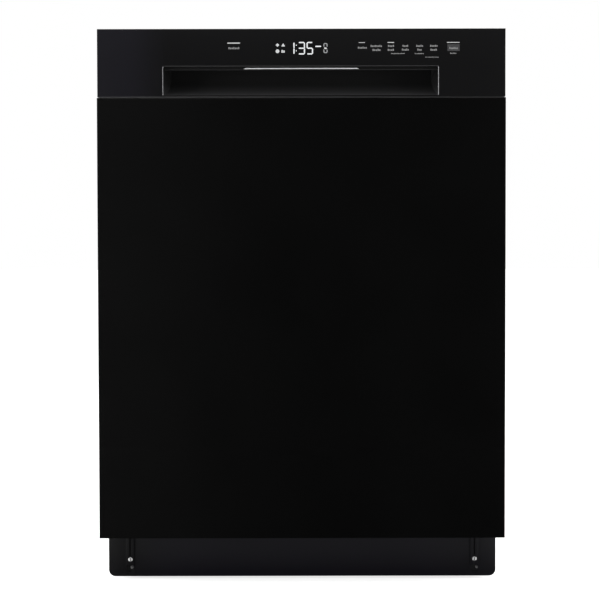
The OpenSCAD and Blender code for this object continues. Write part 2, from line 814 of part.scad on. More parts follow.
// Moulded control panel with the window of the pocket handle
module control_panel() color("#151517") {
    r = 2;
    depth = door_t - 8;
    difference() {
        translate([0, 0, fascia_z]) linear_extrude(fascia_h) difference() {
            translate([0, yf]) round_rect(fascia_w, depth + 4, r);
            translate([-door_w, yf + depth]) square([2 * door_w, 20]);
        }
        block([-fascia_w / 2 + fascia_t, yf + fascia_t, fascia_z + fascia_t],
              [fascia_w / 2 - fascia_t, yf + depth + 1, door_top - fascia_t]);
        sheet_y(yf - 1, fascia_t + 2) translate([0, pocket_z]) round_rect(pocket_w, pocket_h, 1.5);
        // Open floor, but for the front bar and the side feet
        block([-fascia_w / 2 + 18, yf + fascia_t, fascia_z - 1],
              [fascia_w / 2 - 18, yf + depth + 1, fascia_z + fascia_t + 1]);
        // Slot in the roof behind the latch
        block([-22, yf + depth - 12, door_top - fascia_t - 1], [22, yf + depth + 1, door_top + 1]);
    }
    // Screw bosses behind the face
    for (x = [-boss_x, board_x0 - 34, boss_x]) difference() {
        bar_y(yf + fascia_t - 0.5, liner_y - liner_t, x, door_top - 22, 5);
        bar_y(yf + 12, liner_y, x, door_top - 22, 1.6);
    }
}

// Curved scoop behind the window. Its back sweeps down and forward to the sill.
function scoop_back(grow) = let (n = 12) [for (i = [0 : n]) let (a = i * 90 / n)
    [yf + fascia_t + (pocket_d - fascia_t) * sin(a) + grow * sin(a),
     pocket_z + 30 * (1 - cos(a)) - grow * cos(a)]];
module handle_pocket() color("#0f0f10") {
    top = pocket_top + 10;
    w = pocket_w + 6;
    wall = 2;
    front = yf + fascia_t;
    back = yf + pocket_d;
    outside = concat([[front, pocket_z - wall]], scoop_back(wall), [[back + wall, top], [front, top]]);
    inside = concat([[front - 1, pocket_z]], scoop_back(0), [[back, top - wall], [front - 1, top - wall]]);
    difference() {
        sheet_x(-w / 2, w) polygon(outside);
        sheet_x(-w / 2 + wall, w - 2 * wall) polygon(inside);
    }
    // Side cheeks that lean inwards towards the back
    both_sides() translate([0, 0, pocket_z - 1]) linear_extrude(pocket_h + 10)
        polygon([[w / 2 - wall / 2, front], [w / 2 - wall - 0.5, front], [w / 2 - wall - scoop_in, back + 1],
                 [w / 2 - wall / 2, back + 1]]);
    // Grip: the inner lip that the fingers pull on, clipped in under the roof and between the cheeks
    grip_x = w / 2 - wall - 0.5 - (scoop_in - 0.5) * (grip_back + grip_t - fascia_t) / (pocket_d + 1 - fascia_t) - clear;
    block([-grip_x, yf + grip_back, pocket_top - grip_drop], [grip_x, yf + grip_back + grip_t, top - wall - clear]);
}

// Bright strip on the front of the grip
module handle_strip() color("#d7d9db") {
    strip_top = pocket_top - strip_gap;
    block([-strip_w / 2, yf + grip_back - 1.2, strip_top - strip_h], [strip_w / 2, yf + grip_back, strip_top]);
}

boss_x = fascia_w / 2 - 25.7;
board_x0 = -116;
board_x1 = 236;
// Electronics behind the control panel
module control_board() color("#1f6b3a") {
    y = yf + fascia_t + 6;
    z = pocket_top + 12;
    block([board_x0, y, z], [board_x1, y + 1.6, door_top - 7]);
    // Display, and the contact pads of the keys behind the face
    block([-42, yf + fascia_t, z + 2], [44, y + 0.1, z + 26]);
    for (x = [-99, 93, 116, 134, 153, 172, 192, 225])
        block([x - 6, yf + fascia_t, z + 10], [x + 6, y + 0.1, z + 22]);
    block([70, y + 1.5, z + 4], [110, y + 12, z + 28]);
    bar_y(y + 1.5, y + 16, 140, z + 14, 7);
    // Standoffs to the roof
    for (x = [-100, 226]) block([x - 3, y + 0.5, door_top - 8], [x + 3, y + 8, door_top - fascia_t]);
}

// Inner door: pressed steel with a raised sealing border
module door_liner() color("#c3c6c8") {
    z0 = hinge_z + 14;
    z1 = door_top - 14;
    edge = 24;
    fz0 = tub_floor_z + 3;
    fz1 = tub_top - 12;
    difference() {
        union() {
            difference() {
                sheet_y(yf + panel_return, door_t - panel_return) translate([0, z0])
                    round_rect(liner_w, z1 - z0, 6);
                sheet_y(yf + panel_return - 1, door_t - panel_return + 1 - liner_t) translate([0, z0 + liner_t])
                    round_rect(liner_w - 2 * liner_t, z1 - z0 - 2 * liner_t, 5);
            }
            sheet_y(liner_y - liner_press - liner_t, liner_press + liner_t) translate([0, fz0])
                round_rect(liner_w - 2 * edge, fz1 - fz0, 22);
        }
        sheet_y(liner_y - liner_press, liner_press + 1) translate([0, fz0 + liner_t])
            round_rect(liner_w - 2 * edge - 2 * liner_t, fz1 - fz0 - 2 * liner_t, 21);
        // Opening of the dispenser
        sheet_y(liner_y - liner_press - 5, 8) translate([disp_x, disp_z + 10]) round_rect(disp_w - 20, disp_h - 20, 6);
        // Slots of the strike and the latch
        block([-20, liner_y - 3, tub_top + 5], [20, liner_y + 1, tub_top + 13]);
        block([-9, latch_y - 6, tub_top + 11], [9, liner_y + 1, z1 + 1]);
    }
}

// Felt between the two door skins
module door_insulation() color("#4c4d4f") {
    difference() {
        block([-liner_w / 2 + 8, yf + panel_t, toe_h + 10], [liner_w / 2 - 8, yf + 14, panel_top - 8]);
        block([-disp_w / 2, yf + panel_t + 4, disp_z], [disp_w / 2, yf + 20, disp_z + disp_h]);
    }
}

// Detergent and rinse-aid dispenser, set into the liner
module dispenser_body() color("#6f767c") {
    y0 = bezel_y;
    y1 = bezel_y + bezel_t;
    deep = bezel_y - 28;
    difference() {
        union() {
            sheet_y(y0, y1 - y0) translate([disp_x, disp_z]) round_rect(disp_w, disp_h, 12);
            block([-disp_w / 2 + 12, deep, disp_z + 12], [disp_w / 2 - 12, y0 + 1, disp_z + disp_h - 12]);
        }
        // Detergent cup
        sheet_y(deep + 2, 60) translate([cup_x + cup_w / 2, cup_z]) round_rect(cup_w, cup_h, 10);
        // Track in which the cover slides down
        sheet_y(y1 - 5, 10) translate([cup_x + cup_w / 2, cup_z - lid_travel - 8])
            round_rect(cup_w + 16, cup_h + lid_travel + 16, 8);
        // Well of the rinse-aid cap
        bar_y(y1 - 5, y1 + 1, cap_x, cap_z, cap_r + 3);
        // Sight glass of the rinse-aid tank
        bar_y(y1 - 2, y1 + 1, cap_x, cap_z - 44, 6);
    }
    // Bayonet post of the cap
    bar_y(y1 - 5.5, y1 - 1, cap_x, cap_z, 5);
}

// Sliding cover of the detergent cup
module dispenser_lid() color("#8b9298") {
    y = bezel_y + bezel_t - 5 + clear;
    difference() {
        union() {
            sheet_y(y, lid_t) translate([cup_x + cup_w / 2, cup_z - 5]) round_rect(cup_w + 12, cup_h + 10, 7);
            sheet_y(y + 1, lid_t + 2) translate([cup_x + cup_w / 2, cup_z + cup_h - 14]) round_rect(46, 12, 5);
        }
        for (z = [cup_z + 8 : 7 : cup_z + 30])
            sheet_y(y + lid_t - 0.6, 2) translate([cup_x + cup_w / 2, z]) round_rect(40, 3, 1.2);
    }
}

// Quarter-turn cap of the rinse-aid tank
module rinse_aid_cap() color("#4b7fae") {
    y = bezel_y + bezel_t - 5 + clear;
    difference() {
        union() {
            bar_y(y, y + 5, cap_x, cap_z, cap_r);
            block([cap_x - cap_r + 2, y + 4, cap_z - 2.5], [cap_x + cap_r - 2, y + 10, cap_z + 2.5]);
        }
        bar_y(y - 1, y + 4, cap_x, cap_z, 5 + pin_play);
    }
}

// Vent in the inner door, with louvres
module door_vent() color("#5d646a") {
    x = liner_w / 2 - 132;
    z = tub_top - 122;
    y = bezel_y;
    difference() {
        sheet_y(y, 7) translate([x, z]) round_rect(112, 70, 14);
        for (i = [0 : 6]) sheet_y(y + 2, 6) translate([x, z + 9 + i * 8]) round_rect(88, 4, 1.9);
    }
}

// Hinge arms: plates along the door's sides, each with its balance lever
module hinge_arms() color("#868b8f") {
    tail = [hinge_y + lever_reach, hinge_z + lever_reach];
    both_sides() {
        difference() {
            sheet_x(lever_x, lever_t) union() {
                translate([hinge_y, hinge_z]) circle(13);
                translate([yf + panel_return + 4, hinge_z]) square([14, 250]);
                translate(tail) circle(7);
                polygon([for (a = [-45, 135]) each [[hinge_y + 11 * cos(a), hinge_z + 11 * sin(a)],
                    tail + 7 * [cos(a), sin(a)]]], [[0, 1, 3, 2]]);
            }
            bar_x(lever_x - 1, lever_x + lever_t + 1, hinge_y, hinge_z, hinge_pin_r + pin_play);
            for (z = [hinge_z + 60 : 60 : hinge_z + 220])
                bar_x(lever_x - 1, lever_x + lever_t + 1, yf + panel_return + 11, z, 2.2);
        }
        bar_x(link_x - 1, lever_x + 1, tail[0], tail[1], 3);
        // Spacers against the sides of the inner door
        for (z = [hinge_z + 70, hinge_z + 150, hinge_z + 222])
            block([liner_w / 2, yf + panel_return + 5, z], [lever_x + 0.5, yf + panel_return + 17, z + 16]);
    }
}

// Sprung latch lever in the top of the door, over the strike
latch_y = yf + 34;
latch_z = tub_top + 17;
module latch_lever() color("#c8cacc") {
    difference() {
        union() {
            bar_x(-7, 7, latch_y, latch_z, 5);
            block([-7, latch_y, latch_z - 2.5], [7, tub_front - 5, latch_z + 2]);
            block([-7, tub_front - 11, latch_z - 6], [7, tub_front - 5, latch_z]);
        }
    }
    // Trunnions in the roof's cheeks
    bar_x(-13, 13, latch_y, latch_z, 2.5);
}

// ---------- Lower rack ----------

cross_pitch = (rack_d - 2 * bend_r - lower_curve) / (n_cross - 1);
long_pitch = (rack_w - 2 * bend_r - 20) / (n_long - 1);
function cross_y(i) = rack_y0 + lower_curve + bend_r / 2 + i * cross_pitch;
function long_x(i) = -rack_w / 2 + bend_r + 10 + i * long_pitch;

// Floor of a basket: cross wires with turned-up ends, and long wires on top of them
module basket_floor(z, curve) {
    long_z = z + 2 * wire_r - weld;
    for (i = [0 : n_cross - 1]) upright_x(cross_y(i)) bent_wire([
        [-rack_w / 2, z + stub], [-rack_w / 2, z], [rack_w / 2, z], [rack_w / 2, z + stub]
    ], [0, bend_r, bend_r, 0], wire_r);
    for (i = [0 : n_long - 1]) upright_y(long_x(i)) bent_wire([
        [rack_y0, long_z + curve + 8], [rack_y0, long_z], [rack_y1, long_z], [rack_y1, z + stub]
    ], [0, curve, bend_r / 2, 0], wire_r);
    // Cross bar at the top of the front curve
    bar_x(-rack_w / 2 + 12, rack_w / 2 - 12, rack_y0 + 2 * wire_r - weld, long_z + curve + 4, wire_r);
}

// Four walls of a basket, each one welded grid
// The rim's corners belong to the side walls, or to the front and back walls where hooks and shelves fill the sides.
module basket_walls(z, h, curve, flat_sides = false) {
    rim_z = z + h;
    out = wire_r + rim_r - weld;
    side_x = rack_w / 2 + out;
    long_z = z + 2 * wire_r - weld;
    y_front = rack_y0 - out;
    y_back = rack_y1 + out;
    corner = 16;
    both_sides() {
        for (i = [0 : n_cross - 1]) bar_z(z + stub, rim_z + 1, rack_w / 2, cross_y(i), wire_r);
        for (level = [h * 0.35, h * 0.68])
            bar_y(cross_y(0) - 12, cross_y(n_cross - 1) + 12, rack_w / 2 + 2 * wire_r - weld, z + level, wire_r);
        if (flat_sides) bar_y(y_front + corner + 4 + clear, y_back - corner - 4 - clear, side_x, rim_z, rim_r);
        else translate([0, 0, rim_z]) bent_wire([
            [side_x - corner - 4, y_front], [side_x, y_front], [side_x, y_back], [side_x - corner - 4, y_back]
        ], [0, corner, corner, 0], rim_r);
    }
    for (s = [-1, 1]) {
        y = s < 0 ? rack_y0 : rack_y1;
        z_low = s < 0 ? long_z + curve + 8 : z + stub;
        for (i = [0 : n_long - 1]) bar_z(z_low, rim_z + 1, long_x(i), y, wire_r);
        y_rim = s < 0 ? y_front : y_back;
        y_end = y_rim - s * (corner + 4);
        if (flat_sides) translate([0, 0, rim_z]) bent_wire([
            [-side_x, y_end], [-side_x, y_rim], [side_x, y_rim], [side_x, y_end]
        ], [0, corner, corner, 0], rim_r);
        else bar_x(-side_x + corner + 4 + clear, side_x - corner - 4 - clear, y_rim, rim_z, rim_r);
        for (level = s < 0 ? [h * 0.72] : [h * 0.35, h * 0.68])
            bar_x(long_x(0) - 12, long_x(n_long - 1) + 12, y + s * (2 * wire_r - weld), z + level, wire_r);
    }
}

module lower_rack_floor() color("#9aa0a6") basket_floor(lower_z, lower_curve);
module lower_rack_walls() color("#9aa0a6") basket_walls(lower_z, lower_h, lower_curve);

tine_z = lower_z + floor_top + wire_r;
fold_y = rack_y0 + 266;
fold_z = tine_z + 2;

// Fixed rows of plate tines, and the two clips of the folding row
module lower_tines() color("#9aa0a6") {
    for (y = [rack_y0 + 178, rack_y0 + 354])
        comb(-rack_w / 2 + 34, rack_w / 2 - 34, 12, y, tine_z, 74, wire_r);
    for (i = [4, n_long - 5]) difference() {
        block([long_x(i) - 4, fold_y - 5, lower_z + floor_top], [long_x(i) + 4, fold_y + 5, fold_z + 4]);
        bar_x(long_x(i) - 5, long_x(i) + 5, fold_y, fold_z, wire_r + pin_play);
    }
}

// Row of plate tines that folds flat towards the back
module folding_tines() color("#7c93ad") {
    comb(-rack_w / 2 + 34, rack_w / 2 - 34, 12, fold_y, fold_z, 72, wire_r);
}

// Pair of wheels on one axle line
module wheel_pair(y) color("#b9bdc0") {
    both_sides() translate([wheel_x, y, wheel_z]) rotate([0, 90, 0]) rotate_extrude() difference() {
        translate([wheel_bore_r + pin_play, 0]) square([wheel_r - wheel_bore_r - pin_play, wheel_w]);
        translate([wheel_bore_r + 4, -1]) square([wheel_r - wheel_bore_r - 8, 3.2]);
        translate([wheel_bore_r + 4, wheel_w - 2.2]) square([wheel_r - wheel_bore_r - 8, 3.2]);
    }
}
module wheels_front() wheel_pair(wheel_ys[0]);
module wheels_middle() wheel_pair(wheel_ys[1]);
module wheels_rear() wheel_pair(wheel_ys[2]);

// Clips on the basket's lower edge, each with a wheel's axle
module wheel_carriers() color("#5f666c") {
    x = wheel_x - 1 - carrier_t;
    both_sides() for (y = wheel_ys) {
        difference() {
            union() {
                sheet_x(x, carrier_t) union() {
                    translate([y, wheel_z]) circle(8);
                    polygon([[y - 8, wheel_z], [y + 8, wheel_z], [y + 28, lower_z - wire_r], [y - 28, lower_z - wire_r]]);
                }
                // Ledge under the cross wires
                block([x - 24, y - 28, lower_z - wire_r - 3], [x + carrier_t, y + 28, lower_z - wire_r]);
            }
            bar_x(x - 1, x + carrier_t + 1, y, wheel_z + 22, 3);
        }
        bar_x(x + 1, wheel_x + wheel_w + 2, y, wheel_z, wheel_bore_r);
        bar_x(wheel_x + wheel_w + 0.4, wheel_x + wheel_w + 2.4, y, wheel_z, wheel_bore_r + 2);
    }
}

// Cutlery basket with six compartments and slotted walls
module cutlery_basket() color("#7b8288") {
    x0 = 12;
    w = rack_w / 2 - 29 - x0;
    d = 74;
    h = 118;
    wall = 2;
    y0 = rack_y0 + lower_curve + 4;
    z0 = lower_z + floor_top;
    cols = 3;
    cell = (w - wall) / cols;
    translate([x0, y0, z0]) {
        difference() {
            cube([w, d, h]);
            for (i = [0 : cols - 1], j = [0, 1])
                translate([wall + i * cell, wall + j * (d - wall) / 2, wall]) cube([cell - wall, (d - wall) / 2 - wall, h]);
            // Slots through the long walls
            for (i = [0 : cols * 4 - 1], k = [0 : 2])
                translate([10 + i * (w - 20) / (cols * 4 - 1) - 2, -1, 14 + k * 32]) cube([4, wall + 2, 22]);
            for (i = [0 : cols * 4 - 1], k = [0 : 2])
                translate([10 + i * (w - 20) / (cols * 4 - 1) - 2, d - wall - 1, 14 + k * 32]) cube([4, wall + 2, 22]);
        }
    }
}

// ---------- Upper rack ----------

module upper_rack_floor() color("#9aa0a6") basket_floor(upper_z, bend_r);
module upper_rack_walls() color("#9aa0a6") basket_walls(upper_z, upper_h, bend_r, flat_sides = true);

// Short rows of tines for cups and bowls
module upper_tines() color("#9aa0a6") {
    z = upper_z + floor_top + wire_r;
    for (y = [rack_y0 + 120, rack_y0 + 236, rack_y0 + 352]) comb(-110, rack_w / 2 - 34, 9, y, z, 46, wire_r);
    // Clips of the cup shelf, against the wires of the left wall
    for (i = [1, n_cross - 2]) difference() {
        block([-rack_w / 2 + wire_r, cross_y(i) - 3, shelf_z - 5], [shelf_x + 4, cross_y(i) + 3, shelf_z + 5]);
        bar_y(cross_y(i) - 4, cross_y(i) + 4, shelf_x, shelf_z, wire_r + pin_play);
    }
}

// Cup shelf that folds up against the left wall
shelf_x = -rack_w / 2 + wire_r + 4;
shelf_z = upper_z + 62;
module cup_shelf() color("#7c93ad") {
    y0 = rack_y0 + 70;
    y1 = rack_y1 - 70;
    reach = 98;
    bar_y(y0, y1, shelf_x, shelf_z, wire_r);
    bar_y(y0, y1, shelf_x + reach, shelf_z, wire_r);
    for (i = [0 : 8]) bar_x(shelf_x, shelf_x + reach, y0 + 10 + i * (y1 - y0 - 20) / 8, shelf_z, wire_r - 0.3);
}

// Plates that hang the basket on its runners
module rack_hangers() color("#5f666c") {
    y0 = rack_y0 + 40;
    y1 = rack_y1 - 16;
    z0 = rail_z + rail_h / 2 - 16;
    rim_z = upper_z + upper_h;
    rim_x = rack_w / 2 + wire_r + 2 * rim_r - weld;
    both_sides() difference() {
        union() {
            block([hanger_x, y0, z0], [hanger_x + hanger_t, y1, rim_z + 2]);
            // Pads against the basket's rim
            for (y = [y0 + 6, (y0 + y1) / 2 - 20, y1 - 46])
                block([rim_x, y, rim_z - 7], [hanger_x + 1, y + 40, rim_z + 2]);
            for (y = [y0 + 164, y1 - 34])
                block([hanger_x + 1, y, z0], [mid_rail_x + mid_rail_t, y + 30, rail_z + (rail_h - mid_rail_h) / 2 - clear]);
            for (y = [y0 + 164, y1 - 34])
                block([hanger_x + 1, y, rail_z + (rail_h + mid_rail_h) / 2 + clear],
                      [mid_rail_x + mid_rail_t, y + 30, rail_z + (rail_h + mid_rail_h) / 2 + 3]);
        }
        for (y = [y0 + 30 : 50 : y1 - 60])
            sheet_x(hanger_x - 1, hanger_t + 2) translate([y + 20, z0 + 9]) round_rect(34, 12, 5);
    }
}

// Runners fixed to the tub's walls
module outer_rails() color("#babdbf") {
    both_sides() {
        difference() {
            block([outer_rail_x, rack_y0 + 2, rail_z], [tub_in_x, rack_y0 + 2 + rail_len, rail_z + rail_h]);
            block([outer_rail_x + rail_t, rack_y0 + 1, rail_z + rail_t],
                  [tub_in_x - rail_t, rack_y0 + rail_len - 2, rail_z + rail_h - rail_t]);
            block([outer_rail_x - 1, rack_y0 + 1, rail_z + 5],
                  [outer_rail_x + rail_t + 1, rack_y0 + 3 + rail_len, rail_z + rail_h - 5]);
        }
    }
}

// Middle runners, with the rollers that run in the outer ones
module middle_rails() color("#d0d3d5") {
    z = rail_z + (rail_h - mid_rail_h) / 2;
    y0 = rack_y0 + 3;
    y1 = y0 + rail_len - 14;
    both_sides() {
        block([mid_rail_x, y0, z], [mid_rail_x + mid_rail_t, y1, z + mid_rail_h]);
        for (y = [y1 - 12, y1 - 72, y1 - 132]) {
            bar_x(mid_rail_x + 1, outer_rail_x + 8.5, y, rail_z + rail_h / 2, 3.5);
            bar_x(outer_rail_x + rail_t + 0.4, outer_rail_x + 8.5, y, rail_z + rail_h / 2, rail_h / 2 - rail_t - 0.4);
        }
    }
}

// Duct under the upper rack, from the docking port to the arm's hub
module upper_feed() color("#8d9499") {
    z = upper_z - 15;
    difference() {
        union() {
            block([-15, rack_mid, z - 6], [15, rack_y1 - 24, z + 8]);
            bar_y(rack_y1 - 25, rack_y1 + 1 - clear, 0, z, 11);
            bar_z(upper_arm_z + arm_t, z + 8, 0, rack_mid, 20);
            bar_z(upper_arm_z - 3, upper_arm_z + arm_t + 1, 0, rack_mid, spigot_r);
        }
        bar_y(rack_y1 - 40, rack_y1 + 2, 0, z, 8);
    }
    // Clips up to the basket's wires
    for (y = [rack_mid + 30, rack_y1 - 60]) block([-26, y, z + 6], [26, y + 30, upper_z - wire_r]);
    // Retaining nut under the arm
    bar_z(upper_arm_z - 7, upper_arm_z - 2 * clear, 0, rack_mid, 14);
}

// Spray arm under the upper rack
module upper_spray_arm() color("#9aa1a6") {
    translate([0, rack_mid, upper_arm_z]) difference() {
        union() {
            for (a = [0, 180]) rotate([0, 0, a + 90]) spray_blade(arm_reach - 12, 40, 24, 22, arm_t, 6);
            cylinder(r = 26, h = arm_t - clear);
        }
        translate([0, 0, -1]) cylinder(r = spigot_r + pin_play, h = arm_t + 4);
    }
}

base_tray();
tub();
tub_frame();
side_panels();
rear_cover();
sound_pad();
door_gasket();
mounting_brackets();
kick_plate();
kick_screws();
hinge_brackets();
latch_strike();
sump();
filter_plate();
filter_cylinder();
wash_pump();
drain_pump();
supply_duct();
ceiling_spray();
outer_rails();
middle_rails();
overfill_float();
inlet_valve();
junction_box();
foot_front_left();
foot_front_right();
foot_rear_left();
foot_rear_right();
balance_springs();
balance_links();
lower_spray_arm();
door_panel();
control_panel();
handle_pocket();
handle_strip();
control_board();
door_liner();
door_insulation();
dispenser_body();
dispenser_lid();
rinse_aid_cap();
door_vent();
hinge_arms();
latch_lever();
lower_rack_floor();
lower_rack_walls();
lower_tines();
folding_tines();
wheels_front();
wheels_middle();
wheels_rear();
wheel_carriers();
cutlery_basket();
upper_rack_floor();
upper_rack_walls();
upper_tines();
cup_shelf();
rack_hangers();
upper_feed();
upper_spray_arm();
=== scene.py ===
# %% [markdown]
# # A black built-in dishwasher
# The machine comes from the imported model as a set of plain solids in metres: +Z is up, -Y is the front, and the
# origin is on the floor under the middle. This script gives those solids their finishes, and models again, with
# rounded edges and finer detail, the pieces that are seen from close by: the door's face, the control panel, the
# pocket handle and the kick plate.

# %% Load the frame
import json
import math

import bmesh
import bpy
from mathutils import Matrix, Vector


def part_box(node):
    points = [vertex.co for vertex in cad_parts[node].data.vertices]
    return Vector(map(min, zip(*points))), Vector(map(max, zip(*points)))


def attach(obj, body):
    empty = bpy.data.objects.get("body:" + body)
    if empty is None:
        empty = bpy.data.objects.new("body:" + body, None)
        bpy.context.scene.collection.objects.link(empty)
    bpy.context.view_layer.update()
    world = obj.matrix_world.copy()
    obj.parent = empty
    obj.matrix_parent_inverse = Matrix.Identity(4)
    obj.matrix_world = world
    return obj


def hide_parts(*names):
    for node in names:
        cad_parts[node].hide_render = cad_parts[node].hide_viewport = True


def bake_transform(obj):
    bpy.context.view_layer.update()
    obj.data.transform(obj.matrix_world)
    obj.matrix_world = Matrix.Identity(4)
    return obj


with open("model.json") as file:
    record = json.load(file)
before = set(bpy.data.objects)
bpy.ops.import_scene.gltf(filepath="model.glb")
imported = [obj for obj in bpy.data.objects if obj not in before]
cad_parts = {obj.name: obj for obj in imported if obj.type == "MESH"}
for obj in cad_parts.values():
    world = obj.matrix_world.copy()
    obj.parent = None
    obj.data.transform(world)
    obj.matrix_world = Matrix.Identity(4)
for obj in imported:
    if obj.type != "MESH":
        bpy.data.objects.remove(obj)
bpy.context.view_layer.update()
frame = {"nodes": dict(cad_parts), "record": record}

# %% [markdown]
# ## Small tools for modelling
# Operators act on whatever is selected, so each step starts by clearing the selection and ends with a finished mesh
# whose place is in its points. A cube is added at its final size, and its faces and edges are then picked by where
# they are or by the way that they face, just as a person would click on them.

# %% Selection and primitives
MM = 0.001


def deselect():
    if bpy.context.object and bpy.context.object.mode != "OBJECT":
        bpy.ops.object.mode_set(mode="OBJECT")
    bpy.ops.object.select_all(action="DESELECT")


def only(piece):
    deselect()
    piece.select_set(True)
    bpy.context.view_layer.objects.active = piece
    return piece


def settle(piece):
    """Put the piece's place, turn and size into its mesh."""
    only(piece)
    bpy.ops.object.transform_apply(location=True, rotation=True, scale=True)
    return piece


def block(name, low, high):
    """A cube primitive between two corners, in millimetres."""
    deselect()
    low, high = Vector(low) * MM, Vector(high) * MM
    bpy.ops.mesh.primitive_cube_add(size=1, location=(low + high) / 2, scale=high - low)
    piece = bpy.context.object
    piece.name = name
    return settle(piece)


def pick(piece, kind, test):
    """In edit mode, select the faces, edges or points that pass a test."""
    if bpy.context.view_layer.objects.active != piece:
        only(piece)
    bpy.ops.object.mode_set(mode="EDIT")
    bpy.ops.mesh.select_mode(type=kind)
    bpy.ops.mesh.select_all(action="DESELECT")
    mesh = bmesh.from_edit_mesh(piece.data)
    parts = {"FACE": mesh.faces, "EDGE": mesh.edges, "VERT": mesh.verts}[kind]
    count = 0
    for part in parts:
        if test(part):
            part.select_set(True)
            count += 1
    mesh.select_flush_mode()
    bmesh.update_edit_mesh(piece.data)
    return count


def middle(edge):
    return (edge.verts[0].co + edge.verts[1].co) / 2 / MM


def along(edge):
    return (edge.verts[1].co - edge.verts[0].co).normalized()


def near(a, b, slack=0.05):
    return abs(a - b) < slack


def divide(piece, planes):
    """Cut all faces of a piece along planes, each a point in millimetres and a normal."""
    for point, normal in planes:
        pick(piece, "FACE", lambda face: True)
        bpy.ops.mesh.bisect(plane_co=Vector(point) * MM, plane_no=normal)


def heart(face):
    """The middle of a face, in millimetres."""
    return face.calc_center_median() / MM


def modifier(piece, kind, **settings):
    """Add one modifier and apply it."""
    only(piece)
    added = piece.modifiers.new(kind.title(), kind)
    for key, value in settings.items():
        setattr(added, key, value)
    bpy.ops.object.modifier_apply(modifier=added.name)
    return piece


def smooth(piece, degrees=35):
    only(piece)
    bpy.ops.object.shade_smooth_by_angle(angle=math.radians(degrees))
    return piece


def join(name, pieces):
    deselect()
    for piece in pieces:
        piece.select_set(True)
    bpy.context.view_layer.objects.active = pieces[0]
    bpy.ops.object.join()
    pieces[0].name = name
    return pieces[0]


# %% [markdown]
# ## Where things are
# Sizes are read from the CAD boxes of the pieces, so a change in the model carries through to this scene.

# %% Places
def size_of(node):
    low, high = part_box(node)
    return [v / MM for v in low], [v / MM for v in high]


door_low, door_high = size_of("door_panel")
panel_low, panel_high = size_of("control_panel")
pocket_low, pocket_high = size_of("handle_pocket")
strip_low, strip_high = size_of("handle_strip")
kick_low, kick_high = size_of("kick_plate")
front = door_low[1]
top = panel_high[2]
DOOR_FOOT_LIFT = 0.8  # the door's sheet ends this much above its solid
STRIP_TRIM = 0.3  # the strip's top lies this much below its solid's
MARK_LIFT = 0.15  # all marks stand this much higher than their listed heights
SKIN = 1.6  # thickness of the pocket's moulding
RECESS = 3.2  # depth of the window's rim
print("front", round(front, 2), "top", round(top, 2), "door", door_low, door_high)

# %% [markdown]
# ## Camera
# The machine is seen almost straight on from about three metres, a little above its middle, with a long lens. The
# camera leans down by under three degrees, which is why the kick plate looks slightly narrower than it is. A camera
# looks along its own -Z axis, so its turn is a matrix with three columns: its right, its up, and the way behind it.

# %% Camera
LENS = 125.82
LEAN, SWING, ROLL = 2.6110, -0.0318, -0.1129
CAMERA_X, CAMERA_DISTANCE, CAMERA_HEIGHT = -0.84, 3100, 571.81
camera_data = bpy.data.cameras.new("camera")
camera = bpy.data.objects.new("camera", camera_data)
bpy.context.scene.collection.objects.link(camera)
bpy.context.scene.camera = camera
camera_data.sensor_width = 36
camera_data.lens = LENS
camera_data.clip_end = 60
lean, swing, roll = (math.radians(degrees) for degrees in (LEAN, SWING, ROLL))
look = Vector((math.sin(swing) * math.cos(lean), math.cos(swing) * math.cos(lean), -math.sin(lean)))
level = Vector((math.cos(swing), -math.sin(swing), 0))
upward = level.cross(look)
right = level * math.cos(roll) + upward * math.sin(roll)
upward = upward * math.cos(roll) - level * math.sin(roll)
camera.location = (CAMERA_X * MM, (front - CAMERA_DISTANCE) * MM, CAMERA_HEIGHT * MM)
camera.rotation_euler = Matrix((right, upward, -look)).transposed().to_euler()
print("camera", [round(v, 3) for v in camera.location])

# %% [markdown]
# ## Writing materials as sums
# A material is a small network of nodes. The class below lets a network be written as ordinary Python: adding or
# multiplying two values adds a Math node, and every other node comes from one method that is told the node's type,
# its settings and what goes into its sockets.

# %% A value that flows between nodes
class Flow:
    def __init__(self, recipe, output):
        self.recipe, self.output = recipe, output

    def maths(self, operation, *values, **settings):
        return self.recipe.node("ShaderNodeMath", {"operation": operation, **settings}, dict(enumerate(values)))

    def __add__(self, other):
        return self.maths("ADD", self, other)

    def __radd__(self, other):
        return self.maths("ADD", other, self)

    def __rsub__(self, other):
        return self.maths("SUBTRACT", other, self)

    def __mul__(self, other):
        return self.maths("MULTIPLY", self, other)

    def band(self, low, high):
        """0 below low, 1 above high, and a soft step between."""
        return self.recipe.node("ShaderNodeMapRange", {"interpolation_type": "SMOOTHSTEP", "clamp": True},
                                {"Value": self, "From Min": low, "From Max": high})


